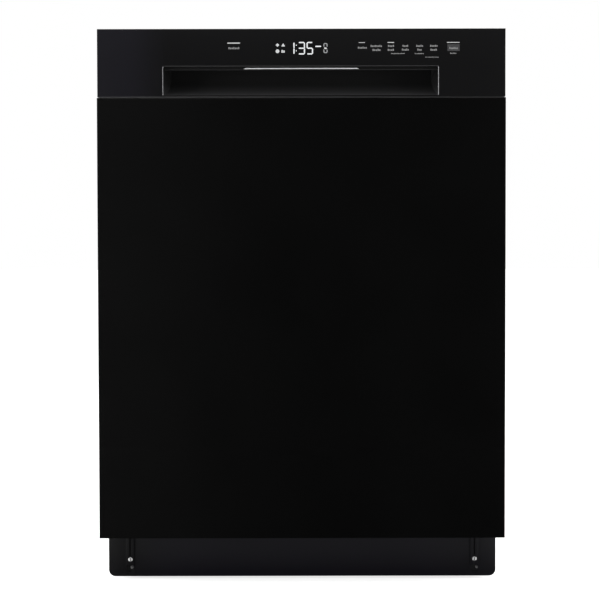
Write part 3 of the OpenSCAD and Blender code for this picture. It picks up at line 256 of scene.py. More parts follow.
# %% A material and its nodes
class Recipe:
    def __init__(self, name):
        self.material = bpy.data.materials.new(name)
        self.material.use_nodes = True
        self.tree = self.material.node_tree
        self.shader = self.tree.nodes["Principled BSDF"]
        self.place = self.node("ShaderNodeTexCoord", output="Object")

    def node(self, kind, settings=None, sockets=None, output=0):
        made = self.tree.nodes.new(kind)
        for key, value in (settings or {}).items():
            setattr(made, key, value)
        for key, value in (sockets or {}).items():
            self.put(made.inputs[key], value)
        return Flow(self, made.outputs[output])

    def put(self, socket, value):
        if isinstance(value, Flow):
            self.tree.links.new(value.output, socket)
        else:
            socket.default_value = value

    def set(self, **values):
        """Set sockets of the Principled shader: base_color=..., roughness=..."""
        for key, value in values.items():
            name = "Specular IOR Level" if key == "specular" else key.replace("_", " ").title()
            self.put(self.shader.inputs[name], value)
        return self

    def stretched(self, x=1.0, y=1.0, z=1.0):
        return self.node("ShaderNodeMapping", None, {"Vector": self.place, "Scale": (x, y, z)})

    def noise(self, scale, detail=3.0, roughness=0.5, where=None):
        return self.node("ShaderNodeTexNoise", None,
                         {"Vector": where or self.place, "Scale": scale, "Detail": detail, "Roughness": roughness})

    def cells(self, scale, feature="F1", output="Distance", where=None):
        return self.node("ShaderNodeTexVoronoi", {"feature": feature},
                         {"Vector": where or self.place, "Scale": scale}, output)

    def axis(self, name):
        return self.node("ShaderNodeSeparateXYZ", None, {"Vector": self.place}, name)

    def colours(self, amount, first, second):
        """A colour that goes from first to second as amount goes from 0 to 1."""
        return self.node("ShaderNodeMix", {"data_type": "RGBA"},
                         {"Factor": amount, 6: (*first, 1), 7: (*second, 1)}, 2)

    def bump(self, height, strength, distance):
        return self.set(normal=self.node("ShaderNodeBump", None,
                                         {"Height": height, "Strength": strength, "Distance": distance}))


# %% [markdown]
# ## Finishes of the front
# The door is steel with a deep black stove enamel, a shade lighter on its left; that lighter left is a painted
# reflection. It is almost a black mirror: a very low wave, as sprayed paint has, breaks up the reflections. The
# control panel is moulded in black plastic that is slightly lighter and softer, and its faint bluish left end is a
# painted reflection too. The kick plate is powder-coated, which leaves a fine grain. Painted shade makes it darker at
# its foot and at both ends, and painted light makes its middle lighter and faintly bluish. The scoop behind the
# handle is the panel's plastic with an etched surface, so it is duller, and painted light makes it lightest at the
# sill.

# %% Black enamel, black plastic and powder coat
enamel = Recipe("black_enamel")
wave = enamel.noise(9.0, 2.0)
dust = enamel.noise(240.0, 3.0, 0.6).band(0.55, 0.75)
# The door's lighter left is a painted reflection.
painted_reflection_fade = enamel.axis("X").band(-0.34, 0.02)
enamel.set(base_color=enamel.colours(painted_reflection_fade * 0.8 + wave.band(0.35, 0.7) * 0.2, (0.0036, 0.0036, 0.0036),
                                     (0.0020, 0.0020, 0.0020)),
           roughness=0.20 + dust * 0.05, specular=0.30, coat_weight=0.25, coat_roughness=0.08)
enamel.bump(wave, 0.05, 0.002)

fascia_black = Recipe("fascia_black")
mottle = fascia_black.noise(5.0, 2.0)
grain = fascia_black.noise(900.0, 2.0)
# The panel's lighter, bluish left end is a painted reflection.
painted_reflection_fade = fascia_black.axis("X").band(-0.26, -0.19)
fascia_black.set(base_color=fascia_black.colours(painted_reflection_fade * 0.85 + mottle * 0.15, (0.0072, 0.0069, 0.0094),
                                                 (0.0043, 0.0043, 0.0044)),
                 roughness=0.27 + mottle * 0.06, specular=0.32)
fascia_black.bump(grain, 0.03, 0.0003)

scoop_black = Recipe("scoop_black")
etch = scoop_black.noise(1100.0, 3.0, 0.6)
sill_z = (pocket_low[2] + SKIN) * MM
# Painted light: the scoop's colour is lightest at the sill and darkens over 19 mm above it.
painted_sill_light_fade = scoop_black.axis("Z").band(sill_z - 0.001, sill_z + 0.019)
scoop_black.set(base_color=scoop_black.colours(painted_sill_light_fade * 0.93 + etch * 0.07, (0.0312, 0.0312, 0.0322),
                                               (0.0080, 0.0080, 0.0081)),
                roughness=0.42 + etch * 0.08, specular=0.20)
scoop_black.bump(etch, 0.10, 0.0003)

powder = Recipe("powder_black")
specks = powder.noise(700.0, 4.0, 0.6)
# Painted shade darkens the plate towards its foot and towards both ends; its lighter, bluish middle is painted light.
painted_foot_shade = powder.axis("Z").band(0.0, 0.075)
painted_lit_powder = powder.colours(painted_foot_shade, (0.0064, 0.0058, 0.0094), (0.0200, 0.0195, 0.0232))
painted_shaded_powder = powder.colours(painted_foot_shade, (0.0058, 0.0056, 0.0066), (0.0096, 0.0096, 0.0098))
painted_shade_left = 1 - powder.axis("X").band(-0.28, -0.17)
painted_shade_right = powder.axis("X").band(0.17, 0.28) * 0.6
powder.set(base_color=powder.node("ShaderNodeMix", {"data_type": "RGBA"},
                                  {"Factor": painted_shade_left + painted_shade_right, 6: painted_lit_powder, 7: painted_shaded_powder}, 2),
           roughness=0.46 + specks * 0.12, specular=0.12)
powder.bump(specks, 0.10, 0.0004)

# %% [markdown]
# ## Finishes of metal
# Stainless steel sheet is brushed in one direction, so its roughness follows long thin streaks. Zinc-coated sheet
# shows a patchwork of small crystals, called spangle, which a cell pattern gives. Screws are smoother, with a finer
# grain.

# %% Steel, zinc and bright metal
def brushed(name, tint, rough, streak):
    made = Recipe(name)
    lines = made.noise(38.0, 5.0, 0.65, made.stretched(*streak))
    stain = made.noise(4.0, 3.0)
    shade = lines * 0.7 + stain * 0.3
    dark = tuple(v * 0.82 for v in tint)
    made.set(base_color=made.colours(shade, dark, tint), metallic=1.0, roughness=rough - 0.06 + lines * 0.16)
    made.bump(lines, 0.06, 0.0002)
    return made


stainless = brushed("brushed_stainless", (0.66, 0.67, 0.68), 0.30, (1.0, 1.0, 30.0))
mild_steel = brushed("bright_zinc_steel", (0.50, 0.51, 0.54), 0.36, (4.0, 30.0, 4.0))
screw_metal = brushed("screw_zinc", (0.74, 0.75, 0.77), 0.26, (60.0, 60.0, 60.0))

zinc = Recipe("zinc_spangle")
crystal = zinc.cells(90.0, output="Color")
level = zinc.node("ShaderNodeSeparateXYZ", None, {"Vector": crystal}, "X")
cloud = zinc.noise(3.0, 3.0)
zinc.set(base_color=zinc.colours(level * 0.6 + cloud * 0.4, (0.36, 0.37, 0.38), (0.46, 0.47, 0.485)), metallic=0.85,
         roughness=0.38 + level * 0.14)
zinc.bump(zinc.cells(90.0), 0.04, 0.0003)

# %% [markdown]
# The strip on the grip is bright metal. Its near-white, hardly metallic colour is a painted highlight, which keeps it
# bright in the shade of the window. The window's upright edges carry a darker painted highlight.

# %% Strip and window edges with painted highlights
# The strip's near-white colour is a painted highlight.
strip_painted_highlight = Recipe("strip_highlight_paint")
blast = strip_painted_highlight.noise(700.0, 3.0, 0.6)
strip_painted_highlight.set(base_color=strip_painted_highlight.colours(blast, (0.93, 0.94, 0.95), (0.97, 0.98, 0.99)), metallic=0.05,
                roughness=0.30 + blast * 0.10, specular=0.5)
strip_painted_highlight.bump(blast, 0.08, 0.0002)


def edging(name, tint, metal, rough):
    made = Recipe(name)
    scratch = made.noise(90.0, 4.0, 0.6, made.stretched(1.0, 1.0, 0.1))
    made.set(base_color=made.colours(scratch, tuple(0.85 * v for v in tint), tint), metallic=metal,
             roughness=rough + scratch * 0.06)
    made.bump(scratch, 0.03, 0.0002)
    return made


# Painted light and painted shade: a lit copy and a shaded copy of the screws' finish.
screw_painted_light = edging("screw_painted_light", (0.80, 0.80, 0.80), 0.15, 0.35)
screw_painted_shade = edging("screw_painted_shade", (0.19, 0.19, 0.193), 0.2, 0.40)
# Painted highlight for the window's upright edges.
rim_painted_highlight = edging("rim_highlight_paint", (0.36, 0.36, 0.37), 0.5, 0.22)
# Painted highlight along the panel's lower edge, lighter at the left and fading towards the right.
lower_edge_painted_highlight = edging("lower_edge_highlight_paint", (0.12, 0.12, 0.122), 0.2, 0.30)
highlight_fade_right = lower_edge_painted_highlight.axis("X").band(-0.28, 0.28)
lower_edge_painted_highlight.set(base_color=lower_edge_painted_highlight.colours(highlight_fade_right, (0.155, 0.155, 0.157), (0.045, 0.045, 0.046)))
# Fainter painted highlight for the window's top rim.
upper_rim_painted_highlight = edging("upper_rim_highlight_paint", (0.055, 0.055, 0.056), 0.2, 0.30)
# Faint painted highlight for the grip's lower edge.
grip_painted_highlight = edging("grip_painted_highlight", (0.030, 0.030, 0.031), 0.2, 0.35)
# Painted shade: a near-black, unreflecting finish for edges that turn away from the light.
edge_painted_shade = Recipe("edge_painted_shade")
shade_noise = edge_painted_shade.noise(260.0)
edge_painted_shade.set(base_color=edge_painted_shade.colours(shade_noise, (0.0020, 0.0020, 0.0021), (0.0040, 0.0040, 0.0042)),
              roughness=0.7 + shade_noise * 0.1, specular=0.03)

# %% [markdown]
# ## Finishes of plastic, rubber and felt
# Moulded parts differ mostly in colour and gloss: each has a fine grain and a slow change of shade, so that no large
# face is quite even. Rubber is duller and darker in its pores. Felt is a tangle of fibres, which a fine noise gives.

# %% Plastics
def moulded(name, colour, rough, grain_size=600.0, depth=0.0003):
    made = Recipe(name)
    fine = made.noise(grain_size, 3.0, 0.6)
    slow = made.noise(6.0, 2.0)
    dark = tuple(v * 0.84 for v in colour)
    made.set(base_color=made.colours(slow.band(0.3, 0.7), dark, colour), roughness=rough + fine * 0.10, specular=0.4)
    made.bump(fine, 0.12, depth)
    return made


tray_black = moulded("tray_black", (0.020, 0.020, 0.022), 0.50)
grey_plastic = moulded("wash_grey", (0.33, 0.35, 0.37), 0.40)
dark_plastic = moulded("graphite_plastic", (0.075, 0.082, 0.09), 0.42)
white_plastic = moulded("nylon_white", (0.70, 0.70, 0.68), 0.36)
blue_plastic = moulded("cap_blue", (0.07, 0.20, 0.44), 0.28)
wire_coat = moulded("nylon_coat_grey", (0.30, 0.32, 0.35), 0.34, 300.0, 0.0006)
fold_coat = moulded("nylon_coat_blue", (0.16, 0.24, 0.36), 0.34, 300.0, 0.0006)
rubber = moulded("seal_rubber", (0.035, 0.035, 0.037), 0.62, 220.0, 0.0008)

# %% Felt and circuit board
felt = Recipe("bitumen_felt")
fibre = felt.noise(160.0, 6.0, 0.75)
clump = felt.noise(20.0, 3.0)
felt.set(base_color=felt.colours(fibre * 0.6 + clump * 0.4, (0.050, 0.050, 0.052), (0.17, 0.17, 0.175)),
         roughness=0.95, specular=0.2, sheen_weight=0.2)
felt.bump(fibre, 0.5, 0.002)

board = Recipe("board_green")
tracks = board.cells(260.0, "DISTANCE_TO_EDGE").band(0.02, 0.05)
board.set(base_color=board.colours(tracks, (0.10, 0.22, 0.10), (0.012, 0.085, 0.030)), roughness=0.35, specular=0.5)
board.bump(tracks, 0.1, 0.0001)

# %% [markdown]
# ## Light that the panel gives
# The figures glow evenly, and the printed marks are a pale ink that the studio light shows up.

# %% Lit and printed marks
def lit(name, colour, strength):
    made = Recipe(name)
    haze = made.noise(400.0, 2.0).band(0.2, 0.8)
    made.set(base_color=made.colours(haze, tuple(0.9 * v for v in colour), colour), roughness=0.4,
             emission_color=(*colour, 1), emission_strength=strength)
    return made


glow = lit("figure_glow", (0.50, 0.51, 0.52), 0.52)
sign_glow = lit("sign_glow", (0.45, 0.455, 0.46), 0.20)
dim_glow = lit("figure_dim_glow", (0.16, 0.164, 0.168), 0.95)
ink = lit("label_ink", (0.20, 0.20, 0.20), 0.0)
bar_ink = lit("mark_ink", (0.43, 0.43, 0.43), 0.0)
start_ink = lit("start_ink", (0.054, 0.054, 0.056), 0.0)

# %% [markdown]
# ## Finishes on the carried-over solids
# Most solids keep their CAD shape. Each gets the finish of its material slot.

# %% Dress the solids
finish_of = {
    "moulded_black": tray_black, "stainless": stainless, "zinc_sheet": zinc, "black_sheet": enamel,
    "black_fascia": fascia_black, "kick_sheet": powder, "seal_rubber": rubber, "felt": felt,
    "grey_plastic": grey_plastic, "dark_plastic": dark_plastic, "white_plastic": white_plastic,
    "rack_wire": wire_coat, "fold_wire": fold_coat, "steel": mild_steel, "bright_strip": strip_painted_highlight,
    "circuit_board": board, "blue_cap": blue_plastic, "screw_steel": screw_metal,
}
slot_of = {part["node"]: part["material_slot"] for part in frame["record"]["subparts"]}
for node, solid in frame["nodes"].items():
    paint = finish_of[slot_of[node]].material
    if not solid.material_slots:
        solid.data.materials.append(paint)
    for slot in solid.material_slots:
        slot.material = paint
print("dressed", len(frame["nodes"]), "solids")


def dress(piece, recipe, body):
    """Give a new piece its finish and the body that it moves with."""
    piece.data.materials.clear()
    piece.data.materials.append(recipe.material)
    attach(piece, body)
    return piece


def finish_faces(piece, recipe, test):
    """Give some faces of a piece a finish of their own."""
    piece.data.materials.append(recipe.material)
    count = pick(piece, "FACE", test)
    piece.active_material_index = len(piece.data.materials) - 1
    bpy.ops.object.material_slot_assign()
    bpy.ops.object.mode_set(mode="OBJECT")
    print(piece.name, count, "faces of", recipe.material.name)
    return piece


# %% [markdown]
# ## The door's face
# The outer door is one sheet, folded back along all four sides. A box is opened at the back, its front edges are
# rounded with a small radius, the open rim is folded inwards, and Solidify gives the sheet its thickness. The rounded
# upper edge matters: it is what catches the light as a fine grey line under the control panel.

# %% Outer door
door = block("door_face", (door_low[0], door_low[1], door_low[2] + DOOR_FOOT_LIFT), door_high)
pick(door, "FACE", lambda face: face.normal.y > 0.9)
bpy.ops.mesh.delete(type="FACE")
pick(door, "EDGE", lambda edge: near(abs(along(edge).y), 1) or near(abs(along(edge).z), 1)
     or (near(middle(edge).y, front) and middle(edge).z < 100))
bpy.ops.mesh.bevel(offset=0.45 * MM, segments=3, affect="EDGES")
pick(door, "EDGE", lambda edge: near(middle(edge).y, front) and near(middle(edge).z, door_high[2]))
bpy.ops.mesh.bevel(offset=0.9 * MM, segments=4, affect="EDGES")
pick(door, "EDGE", lambda edge: edge.is_boundary)
bpy.ops.mesh.extrude_region_move(TRANSFORM_OT_translate={"value": (0, 0, 0)})
inward = 24
bpy.ops.transform.resize(value=((door_high[0] - inward) / door_high[0], 1,
                                1 - inward / ((door_high[2] - door_low[2]) / 2)),
                         center_override=(0, door_high[1] * MM, (door_low[2] + door_high[2]) / 2 * MM))
bpy.ops.object.mode_set(mode="OBJECT")
modifier(door, "SOLIDIFY", thickness=1.0 * MM, offset=-1)
smooth(door)
dress(door, enamel, "door")
# Painted shade on the door's rounded side edges.
finish_faces(door, edge_painted_shade, lambda face: 0.2 < abs(face.normal.x) < 0.98 and face.normal.y < -0.1
             and heart(face).y < front + 2)
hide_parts("door_panel")

# %% [markdown]
# ## The control panel
# The panel is a shallow moulding with one long window for the pocket handle. Four cuts divide its front face, the
# faces between them are removed, and the rim of the hole is drawn back to give the moulding its thickness. The
# corners are slightly round, and a fine bevel runs round the window, which shines where it faces a lamp. Lighter
# finishes on the window's edges and the panel's lower edge are painted highlights, and near-black ones on the side
# edges and the window's sill edge are painted shade.

# %% Panel with its window
window_x = (-203.6, 201.7)
window_low, window_high = pocket_low[2] + SKIN, pocket_high[2] - 10.0
panel = block("panel_moulding", panel_low, (panel_high[0], front + 48, panel_high[2]))
pick(panel, "FACE", lambda face: face.normal.y > 0.9)
bpy.ops.mesh.delete(type="FACE")
divide(panel, [((window_x[0], 0, 0), (1, 0, 0)), ((window_x[1], 0, 0), (1, 0, 0)),
               ((0, 0, window_low), (0, 0, 1)), ((0, 0, window_high), (0, 0, 1))])


def in_window(point):
    return (window_x[0] - 0.05 < point.x < window_x[1] + 0.05
            and window_low - 0.05 < point.z < window_high + 0.05)


def face_foot(face):
    """A face's middle, set to the window's own height, so that only its place along the window counts."""
    return Vector((heart(face).x, 0, window_low + 1))


def at_end(face):
    return min(abs(heart(face).x - end) for end in window_x) < 2


pick(panel, "FACE", lambda face: near(heart(face).y, front) and in_window(heart(face)))
bpy.ops.mesh.delete(type="FACE")
pick(panel, "EDGE", lambda edge: edge.is_boundary and near(middle(edge).y, front))
bpy.ops.mesh.extrude_region_move(TRANSFORM_OT_translate={"value": (0, RECESS * MM, 0)})
pick(panel, "EDGE", lambda edge: near(abs(along(edge).y), 1) and in_window(middle(edge))
     and near(middle(edge).y, front + RECESS / 2, 0.3))
bpy.ops.mesh.bevel(offset=1.6 * MM, segments=4, affect="EDGES")
pick(panel, "EDGE", lambda edge: near(middle(edge).y, front) and in_window(middle(edge))
     and edge.calc_face_angle(0) > 1.0)
bpy.ops.mesh.bevel(offset=1.0 * MM, segments=4, affect="EDGES")
pick(panel, "EDGE", lambda edge: not in_window(middle(edge)) and edge.calc_face_angle(0) > 1.0)
bpy.ops.mesh.bevel(offset=0.4 * MM, segments=3, affect="EDGES")
bpy.ops.object.mode_set(mode="OBJECT")
modifier(panel, "SOLIDIFY", thickness=2.2 * MM, offset=-1)
smooth(panel)
dress(panel, fascia_black, "door")
# Painted highlight on the window's upright edges.
finish_faces(panel, rim_painted_highlight, lambda face: face.normal.y < -0.1 and abs(face.normal.x) > 0.1
             and at_end(face) and window_low < heart(face).z < window_high)
# Painted highlight on the panel's lower edge.
finish_faces(panel, lower_edge_painted_highlight, lambda face: face.normal.y < -0.1 and face.normal.z < -0.1
             and heart(face).z < panel_low[2] + 1.5)
# Painted highlight on the window's top rim.
finish_faces(panel, upper_rim_painted_highlight, lambda face: face.normal.y < -0.1 and face.normal.z < -0.1
             and near(heart(face).z, window_high, 1.5) and in_window(face_foot(face)))
# Painted shade on the panel's rounded side edges.
finish_faces(panel, edge_painted_shade, lambda face: 0.2 < abs(face.normal.x) < 0.98 and face.normal.y < -0.1
             and abs(heart(face).x) > panel_high[0] - 2)
# Painted shade on the window's sill edge.
finish_faces(panel, edge_painted_shade, lambda face: face.normal.y < -0.1 and face.normal.z > 0.1
             and near(heart(face).z, window_low, 1.5) and in_window(face_foot(face)))
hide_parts("control_panel")

# %% [markdown]
# ## The pocket handle
# Behind the window lies a scoop that the fingers reach into. Its outline, seen from the side, starts at the sill,
# sweeps back and up in a quarter circle, and comes forward again under the roof to the grip, a lip that hangs down
# inside the window. An edge drawn step by step along that outline makes the skin, and the sides lean in towards the
# back, as they must for the moulding to leave its tool.

# %% Scoop and grip
half = window_x[1] + 2.5
deep = pocket_high[1] - 2
sill = window_low
outline = [(front + RECESS + (deep - front - RECESS) * math.sin(a), sill + 30 * (1 - math.cos(a)))
           for a in [math.radians(7.5 * i) for i in range(13)]]
grip_front, grip_low = strip_high[1], pocket_high[2] - 15.0
outline += [(deep, pocket_high[2] - 4), (deep - 2, pocket_high[2] - 2), (grip_front + 5, pocket_high[2] - 2),
            (grip_front + 4, pocket_high[2] - 3), (grip_front + 4, grip_low + 1.2), (grip_front + 3.2, grip_low),
            (grip_front + 0.8, grip_low), (grip_front, grip_low + 0.8), (grip_front, window_high + 1.5),
            (front + RECESS, window_high + 1.5)]
deselect()
bpy.ops.mesh.primitive_plane_add(size=1, location=(0, outline[0][0] * MM, outline[0][1] * MM))
scoop = bpy.context.object
scoop.name = "pocket_scoop"
scoop.scale = (2 * half * MM, 1, 1)
settle(scoop)
pick(scoop, "VERT", lambda vert: vert.co.y > outline[0][0] * MM)
bpy.ops.mesh.delete(type="VERT")
pick(scoop, "VERT", lambda vert: True)
for vert in bmesh.from_edit_mesh(scoop.data).verts:
    vert.co.y, vert.co.z = outline[0][0] * MM, outline[0][1] * MM
for here, there in zip(outline, outline[1:]):
    bpy.ops.mesh.extrude_region_move(
        TRANSFORM_OT_translate={"value": (0, (there[0] - here[0]) * MM, (there[1] - here[1]) * MM)})
for depth_share in range(1, 8):
    low_y = front + RECESS + (deep - front - RECESS) * depth_share / 8
    pick(scoop, "VERT", lambda vert: vert.co.y / MM > low_y and vert.co.z / MM < pocket_high[2] - 2.5
         and vert.co.y / MM > grip_front + 5)
    bpy.ops.transform.resize(value=((half - 1.5) / half, 1, 1))
for side in (-1, 1):
    pick(scoop, "EDGE", lambda edge: edge.is_boundary and middle(edge).x * side > half / 2
         and abs(along(edge).x) < 0.9)
    bpy.ops.mesh.edge_face_add()
bpy.ops.mesh.select_all(action="SELECT")
bpy.ops.mesh.normals_make_consistent(inside=True)
bpy.ops.object.mode_set(mode="OBJECT")
modifier(scoop, "SOLIDIFY", thickness=SKIN * MM, offset=-1)
smooth(scoop, 40)
dress(scoop, scoop_black, "door")
# Painted highlight on the grip's lower edge.
finish_faces(scoop, grip_painted_highlight, lambda face: abs(face.normal.y) > 0.3 and abs(face.normal.z) > 0.3
             and near(heart(face).y, grip_front + 0.4, 0.5)
             and near(heart(face).z, grip_low + 0.4, 0.5))
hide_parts("handle_pocket")

# %% [markdown]
# The strip on the grip is a thin bar with slanted ends, and its face leans back a little towards its top.

# %% Bright strip
strip = block("grip_strip", strip_low, (strip_high[0], strip_high[1], strip_high[2] - STRIP_TRIM))
pick(strip, "VERT", lambda vert: vert.co.y / MM < strip_low[1] + 0.1 and vert.co.z / MM > strip_high[2] - 1)
bpy.ops.transform.translate(value=(0, 0.3 * MM, 0))
pick(strip, "VERT", lambda vert: abs(vert.co.x) > 0.08 and vert.co.z / MM > strip_high[2] - 1)
bpy.ops.transform.resize(value=((strip_high[0] - 3.5) / strip_high[0], 1, 1))
pick(strip, "EDGE", lambda edge: True)
bpy.ops.mesh.bevel(offset=0.15 * MM, segments=2, affect="EDGES")
bpy.ops.object.mode_set(mode="OBJECT")
smooth(strip)
dress(strip, strip_painted_highlight, "door")
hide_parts("handle_strip")

# %% [markdown]
# ## Marks on the panel
# The marks are thin tiles that lie on the face. A tile is a flat block with its four short edges rounded. The display
# shows a time in seven-bar figures, which are plain numbers, and beside it a small figure of two brackets, open at
# half height. Words are left out: each line of small print is a row of short dabs that fills the same length.

# %% Tiles
tile_front, tile_back = front - 0.08, front + 0.1


def tile(name, x0, x1, z0, z1, round_by=0.35):
    made = block(name, (x0, tile_front, z0), (x1, tile_back, z1))
    pick(made, "EDGE", lambda edge: abs(along(edge).y) > 0.9)
    bpy.ops.mesh.bevel(offset=min(round_by, (x1 - x0) * 0.45, (z1 - z0) * 0.45) * MM, segments=2, affect="EDGES")
    bpy.ops.object.mode_set(mode="OBJECT")
    return made


def bar_between(name, a, b, thick):
    """A flat bar with slanted ends from point a to point b on the face."""
    length = math.hypot(b[0] - a[0], b[1] - a[1])
    made = block(name, (-length / 2, tile_front, -thick / 2), (length / 2, tile_back, thick / 2))
    pick(made, "EDGE", lambda edge: abs(along(edge).y) > 0.9)
    bpy.ops.mesh.bevel(offset=thick * 0.36 * MM, segments=1, affect="EDGES")
    bpy.ops.object.mode_set(mode="OBJECT")
    made.rotation_euler = (0, -math.atan2(b[1] - a[1], b[0] - a[0]), 0)
    made.location = ((a[0] + b[0]) / 2 * MM, 0, (a[1] + b[1]) / 2 * MM)
    return settle(made)


# %% Figures
mark_top = top + MARK_LIFT
SEGMENTS = {"0": "abcdef", "1": "bc", "3": "abgcd", "5": "afgcd"}


def figure(digit, x0, x1, z0, z1, thick, open_mid=0.0):
    """The bars of a figure. Its uprights keep open_mid away from half height on both sides."""
    zm, gap = (z0 + z1) / 2, thick * 0.12
    ends = {
        "a": ((x0, z1), (x1, z1)), "g": ((x0, zm), (x1, zm)), "d": ((x0, z0), (x1, z0)),
        "f": ((x0, zm + open_mid), (x0, z1)), "b": ((x1, zm + open_mid), (x1, z1)),
        "e": ((x0, z0), (x0, zm - open_mid)), "c": ((x1, z0), (x1, zm - open_mid)),
    }
    bars = []
    for name in SEGMENTS[digit]:
        (ax, az), (bx, bz) = ends[name]
        if az == bz:
            bars.append(bar_between("bar", (ax + gap, az), (bx - gap, bz), thick))
        else:
            bars.append(bar_between("bar", (ax, az + gap), (bx, bz - gap), thick))
    return bars


low_z, high_z, thick = mark_top - 37.1, mark_top - 20.4, 1.75
parts = figure("1", -14.7, -10.7, low_z, high_z, thick)
parts += figure("3", -3.9, 4.7, low_z, high_z, thick)
parts += figure("5", 8.7, 16.5, low_z, high_z, thick)
parts += [tile("colon", -8.1, -6.6, z - 0.8, z + 0.8, 0.6) for z in (mark_top - 24.4, mark_top - 32.6)]
parts += [bar_between("dash", (20.7, mark_top - 26.1), (29.3, mark_top - 26.1), 1.8)]
figures = join("display_figures", parts)
dress(figures, glow, "door")

parts = figure("0", 33.4, 38.0, mark_top - 35.3, mark_top - 22.0, 1.3, 1.8)
small_figure = join("display_small_figure", parts)
dress(small_figure, dim_glow, "door")

# %% [markdown]
# Four small signs stand left of the time. They are plain shapes: a square on its corner, a triangle, a disc and a
# pair of bars. A disc with few sides is the start of the first three. The short dash inside the small figure glows as
# they do, so it is one of their pieces.

# %% Signs
def disc(name, x, z, radius, sides):
    deselect()
    bpy.ops.mesh.primitive_cylinder_add(vertices=sides, radius=radius * MM, depth=(tile_back - tile_front) * MM,
                                        location=(x * MM, (tile_front + tile_back) / 2 * MM, z * MM),
                                        rotation=(math.radians(90), 0, 0))
    made = settle(bpy.context.object)
    made.name = name
    pick(made, "EDGE", lambda edge: abs(along(edge).y) > 0.9)
    bpy.ops.mesh.bevel(offset=0.15 * radius * MM, segments=1, affect="EDGES")
    bpy.ops.object.mode_set(mode="OBJECT")
    return made


signs = join("display_signs", [
    bar_between("sign", (33.6, mark_top - 28.4), (37.8, mark_top - 29.3), 2.2),
    disc("sign", -35.0, mark_top - 24.1, 2.7, 4), disc("sign", -26.6, mark_top - 24.5, 3.3, 3),
    disc("sign", -35.0, mark_top - 33.1, 2.8, 20), tile("sign", -29.2, -27.1, mark_top - 35.4, mark_top - 31.2),
    tile("sign", -26.5, -24.4, mark_top - 35.4, mark_top - 31.9),
])
dress(signs, sign_glow, "door")

# %% Key marks
LISTED_TOP = 830  # height of the panel's top that the lists below are written for
base = mark_top - LISTED_TOP
bars = [(-108.8, -90.1, 808.1, 809.8), (126.8, 136.7, 808.8, 810.0), (214.2, 233.1, 808.8, 809.9),
        (84.4, 93.9, 808.9, 809.8)]
lines = [
    (-107.5, -90.9, 799.9, 803.1), (83.1, 96.6, 800.3, 803.4), (101.8, 119.0, 802.7, 805.8),
    (104.5, 116.9, 796.9, 800.1), (127.5, 136.8, 802.8, 805.9), (127.0, 136.6, 797.0, 800.1),
    (148.8, 157.6, 802.8, 805.9), (147.9, 158.4, 797.3, 800.4), (169.0, 179.4, 802.8, 805.9),
    (170.6, 177.4, 797.1, 800.3), (189.4, 200.9, 802.8, 805.9), (189.9, 199.7, 797.1, 800.2),
    (132.0, 152.4, 792.3, 794.1), (166.8, 180.6, 792.2, 794.0), (182.6, 202.6, 787.1, 788.6),
    (219.0, 228.5, 792.5, 794.5),
]
marks = join("key_marks", [tile("mark", x0, x1, base + z0, base + z1, 0.5) for x0, x1, z0, z1 in bars])
dress(marks, bar_ink, "door")


def print_line(x0, x1, z0, z1):
    """Short upright dabs, close together, that fill the length of one line of small print."""
    pitch = max(1.6, (z1 - z0) * 0.72)
    count = max(3, round((x1 - x0) / pitch))
    step = (x1 - x0) / count
    dabs = []
    for i in range(count):
        drop = (z1 - z0) * (0.22 if i % 3 else 0.0)
        left, right_end = x0 + i * step + 0.12 * step, x0 + (i + 1) * step - 0.12 * step
        dabs.append(tile("dab", left, right_end, z0 + 0.1, z1 - drop, 0.4))
    return dabs


dabs = []
for x0, x1, z0, z1 in lines:
    dabs += print_line(x0, x1, base + z0, base + z1)
# The start key's own line lies over its stripes, so it stands forward of them
for dab in print_line(217.6, 230.6, base + 799.4, base + 802.6):
    dab.location.y -= 0.04 * MM
    dabs.append(settle(dab))
labels = join("key_labels", dabs)
dress(labels, ink, "door")

start = join("start_key", [tile("stripe", 215.2, 233.2, base + z, base + z + 1.15, 0.2)
                           for z in [796.9 + 1.42 * i for i in range(7)]])
dress(start, start_ink, "door")
print("marks made")

# %% [markdown]
# ## The kick plate
# The plate is thin sheet with two round lower corners. A raised rib with a keyhole slot stands near each end: the
# screw is slackened, and the plate drops off its round hole. The plate is cut from a block, and the ribs are pressed
# out of it by drawing faces forward.

# %% Plate with ribs and slots
slot_x, rib_half, keyhole_z = kick_high[0] - 32.5, 7.5, kick_low[2] + 12.5
rib_low, rib_depth = kick_low[2] + 16, 1.2
plate_front = kick_low[1] + rib_depth
plate = block("kick_sheet", (kick_low[0], plate_front, kick_low[2]),
              (kick_high[0], plate_front + 1.2, kick_high[2]))
pick(plate, "EDGE", lambda edge: abs(along(edge).y) > 0.9 and middle(edge).z < kick_low[2] + 1)
bpy.ops.mesh.bevel(offset=10 * MM, segments=8, affect="EDGES")
cuts = [((side * slot_x + reach, 0, 0), (1, 0, 0)) for side in (-1, 1)
        for reach in (-rib_half, -rib_half + 1.4, rib_half - 1.4, rib_half)]
cuts += [((0, 0, z), (0, 0, 1)) for z in (rib_low, kick_low[2] + 18.5)]
divide(plate, cuts)


def on_rib(point, shrink=0.0):
    return abs(abs(point.x) - slot_x) < rib_half - shrink and point.z > rib_low + shrink


pick(plate, "FACE", lambda face: face.normal.y < -0.9 and on_rib(heart(face), 1.2))
bpy.ops.mesh.extrude_region_move(TRANSFORM_OT_translate={"value": (0, -rib_depth * MM, 0)})
bpy.ops.object.mode_set(mode="OBJECT")


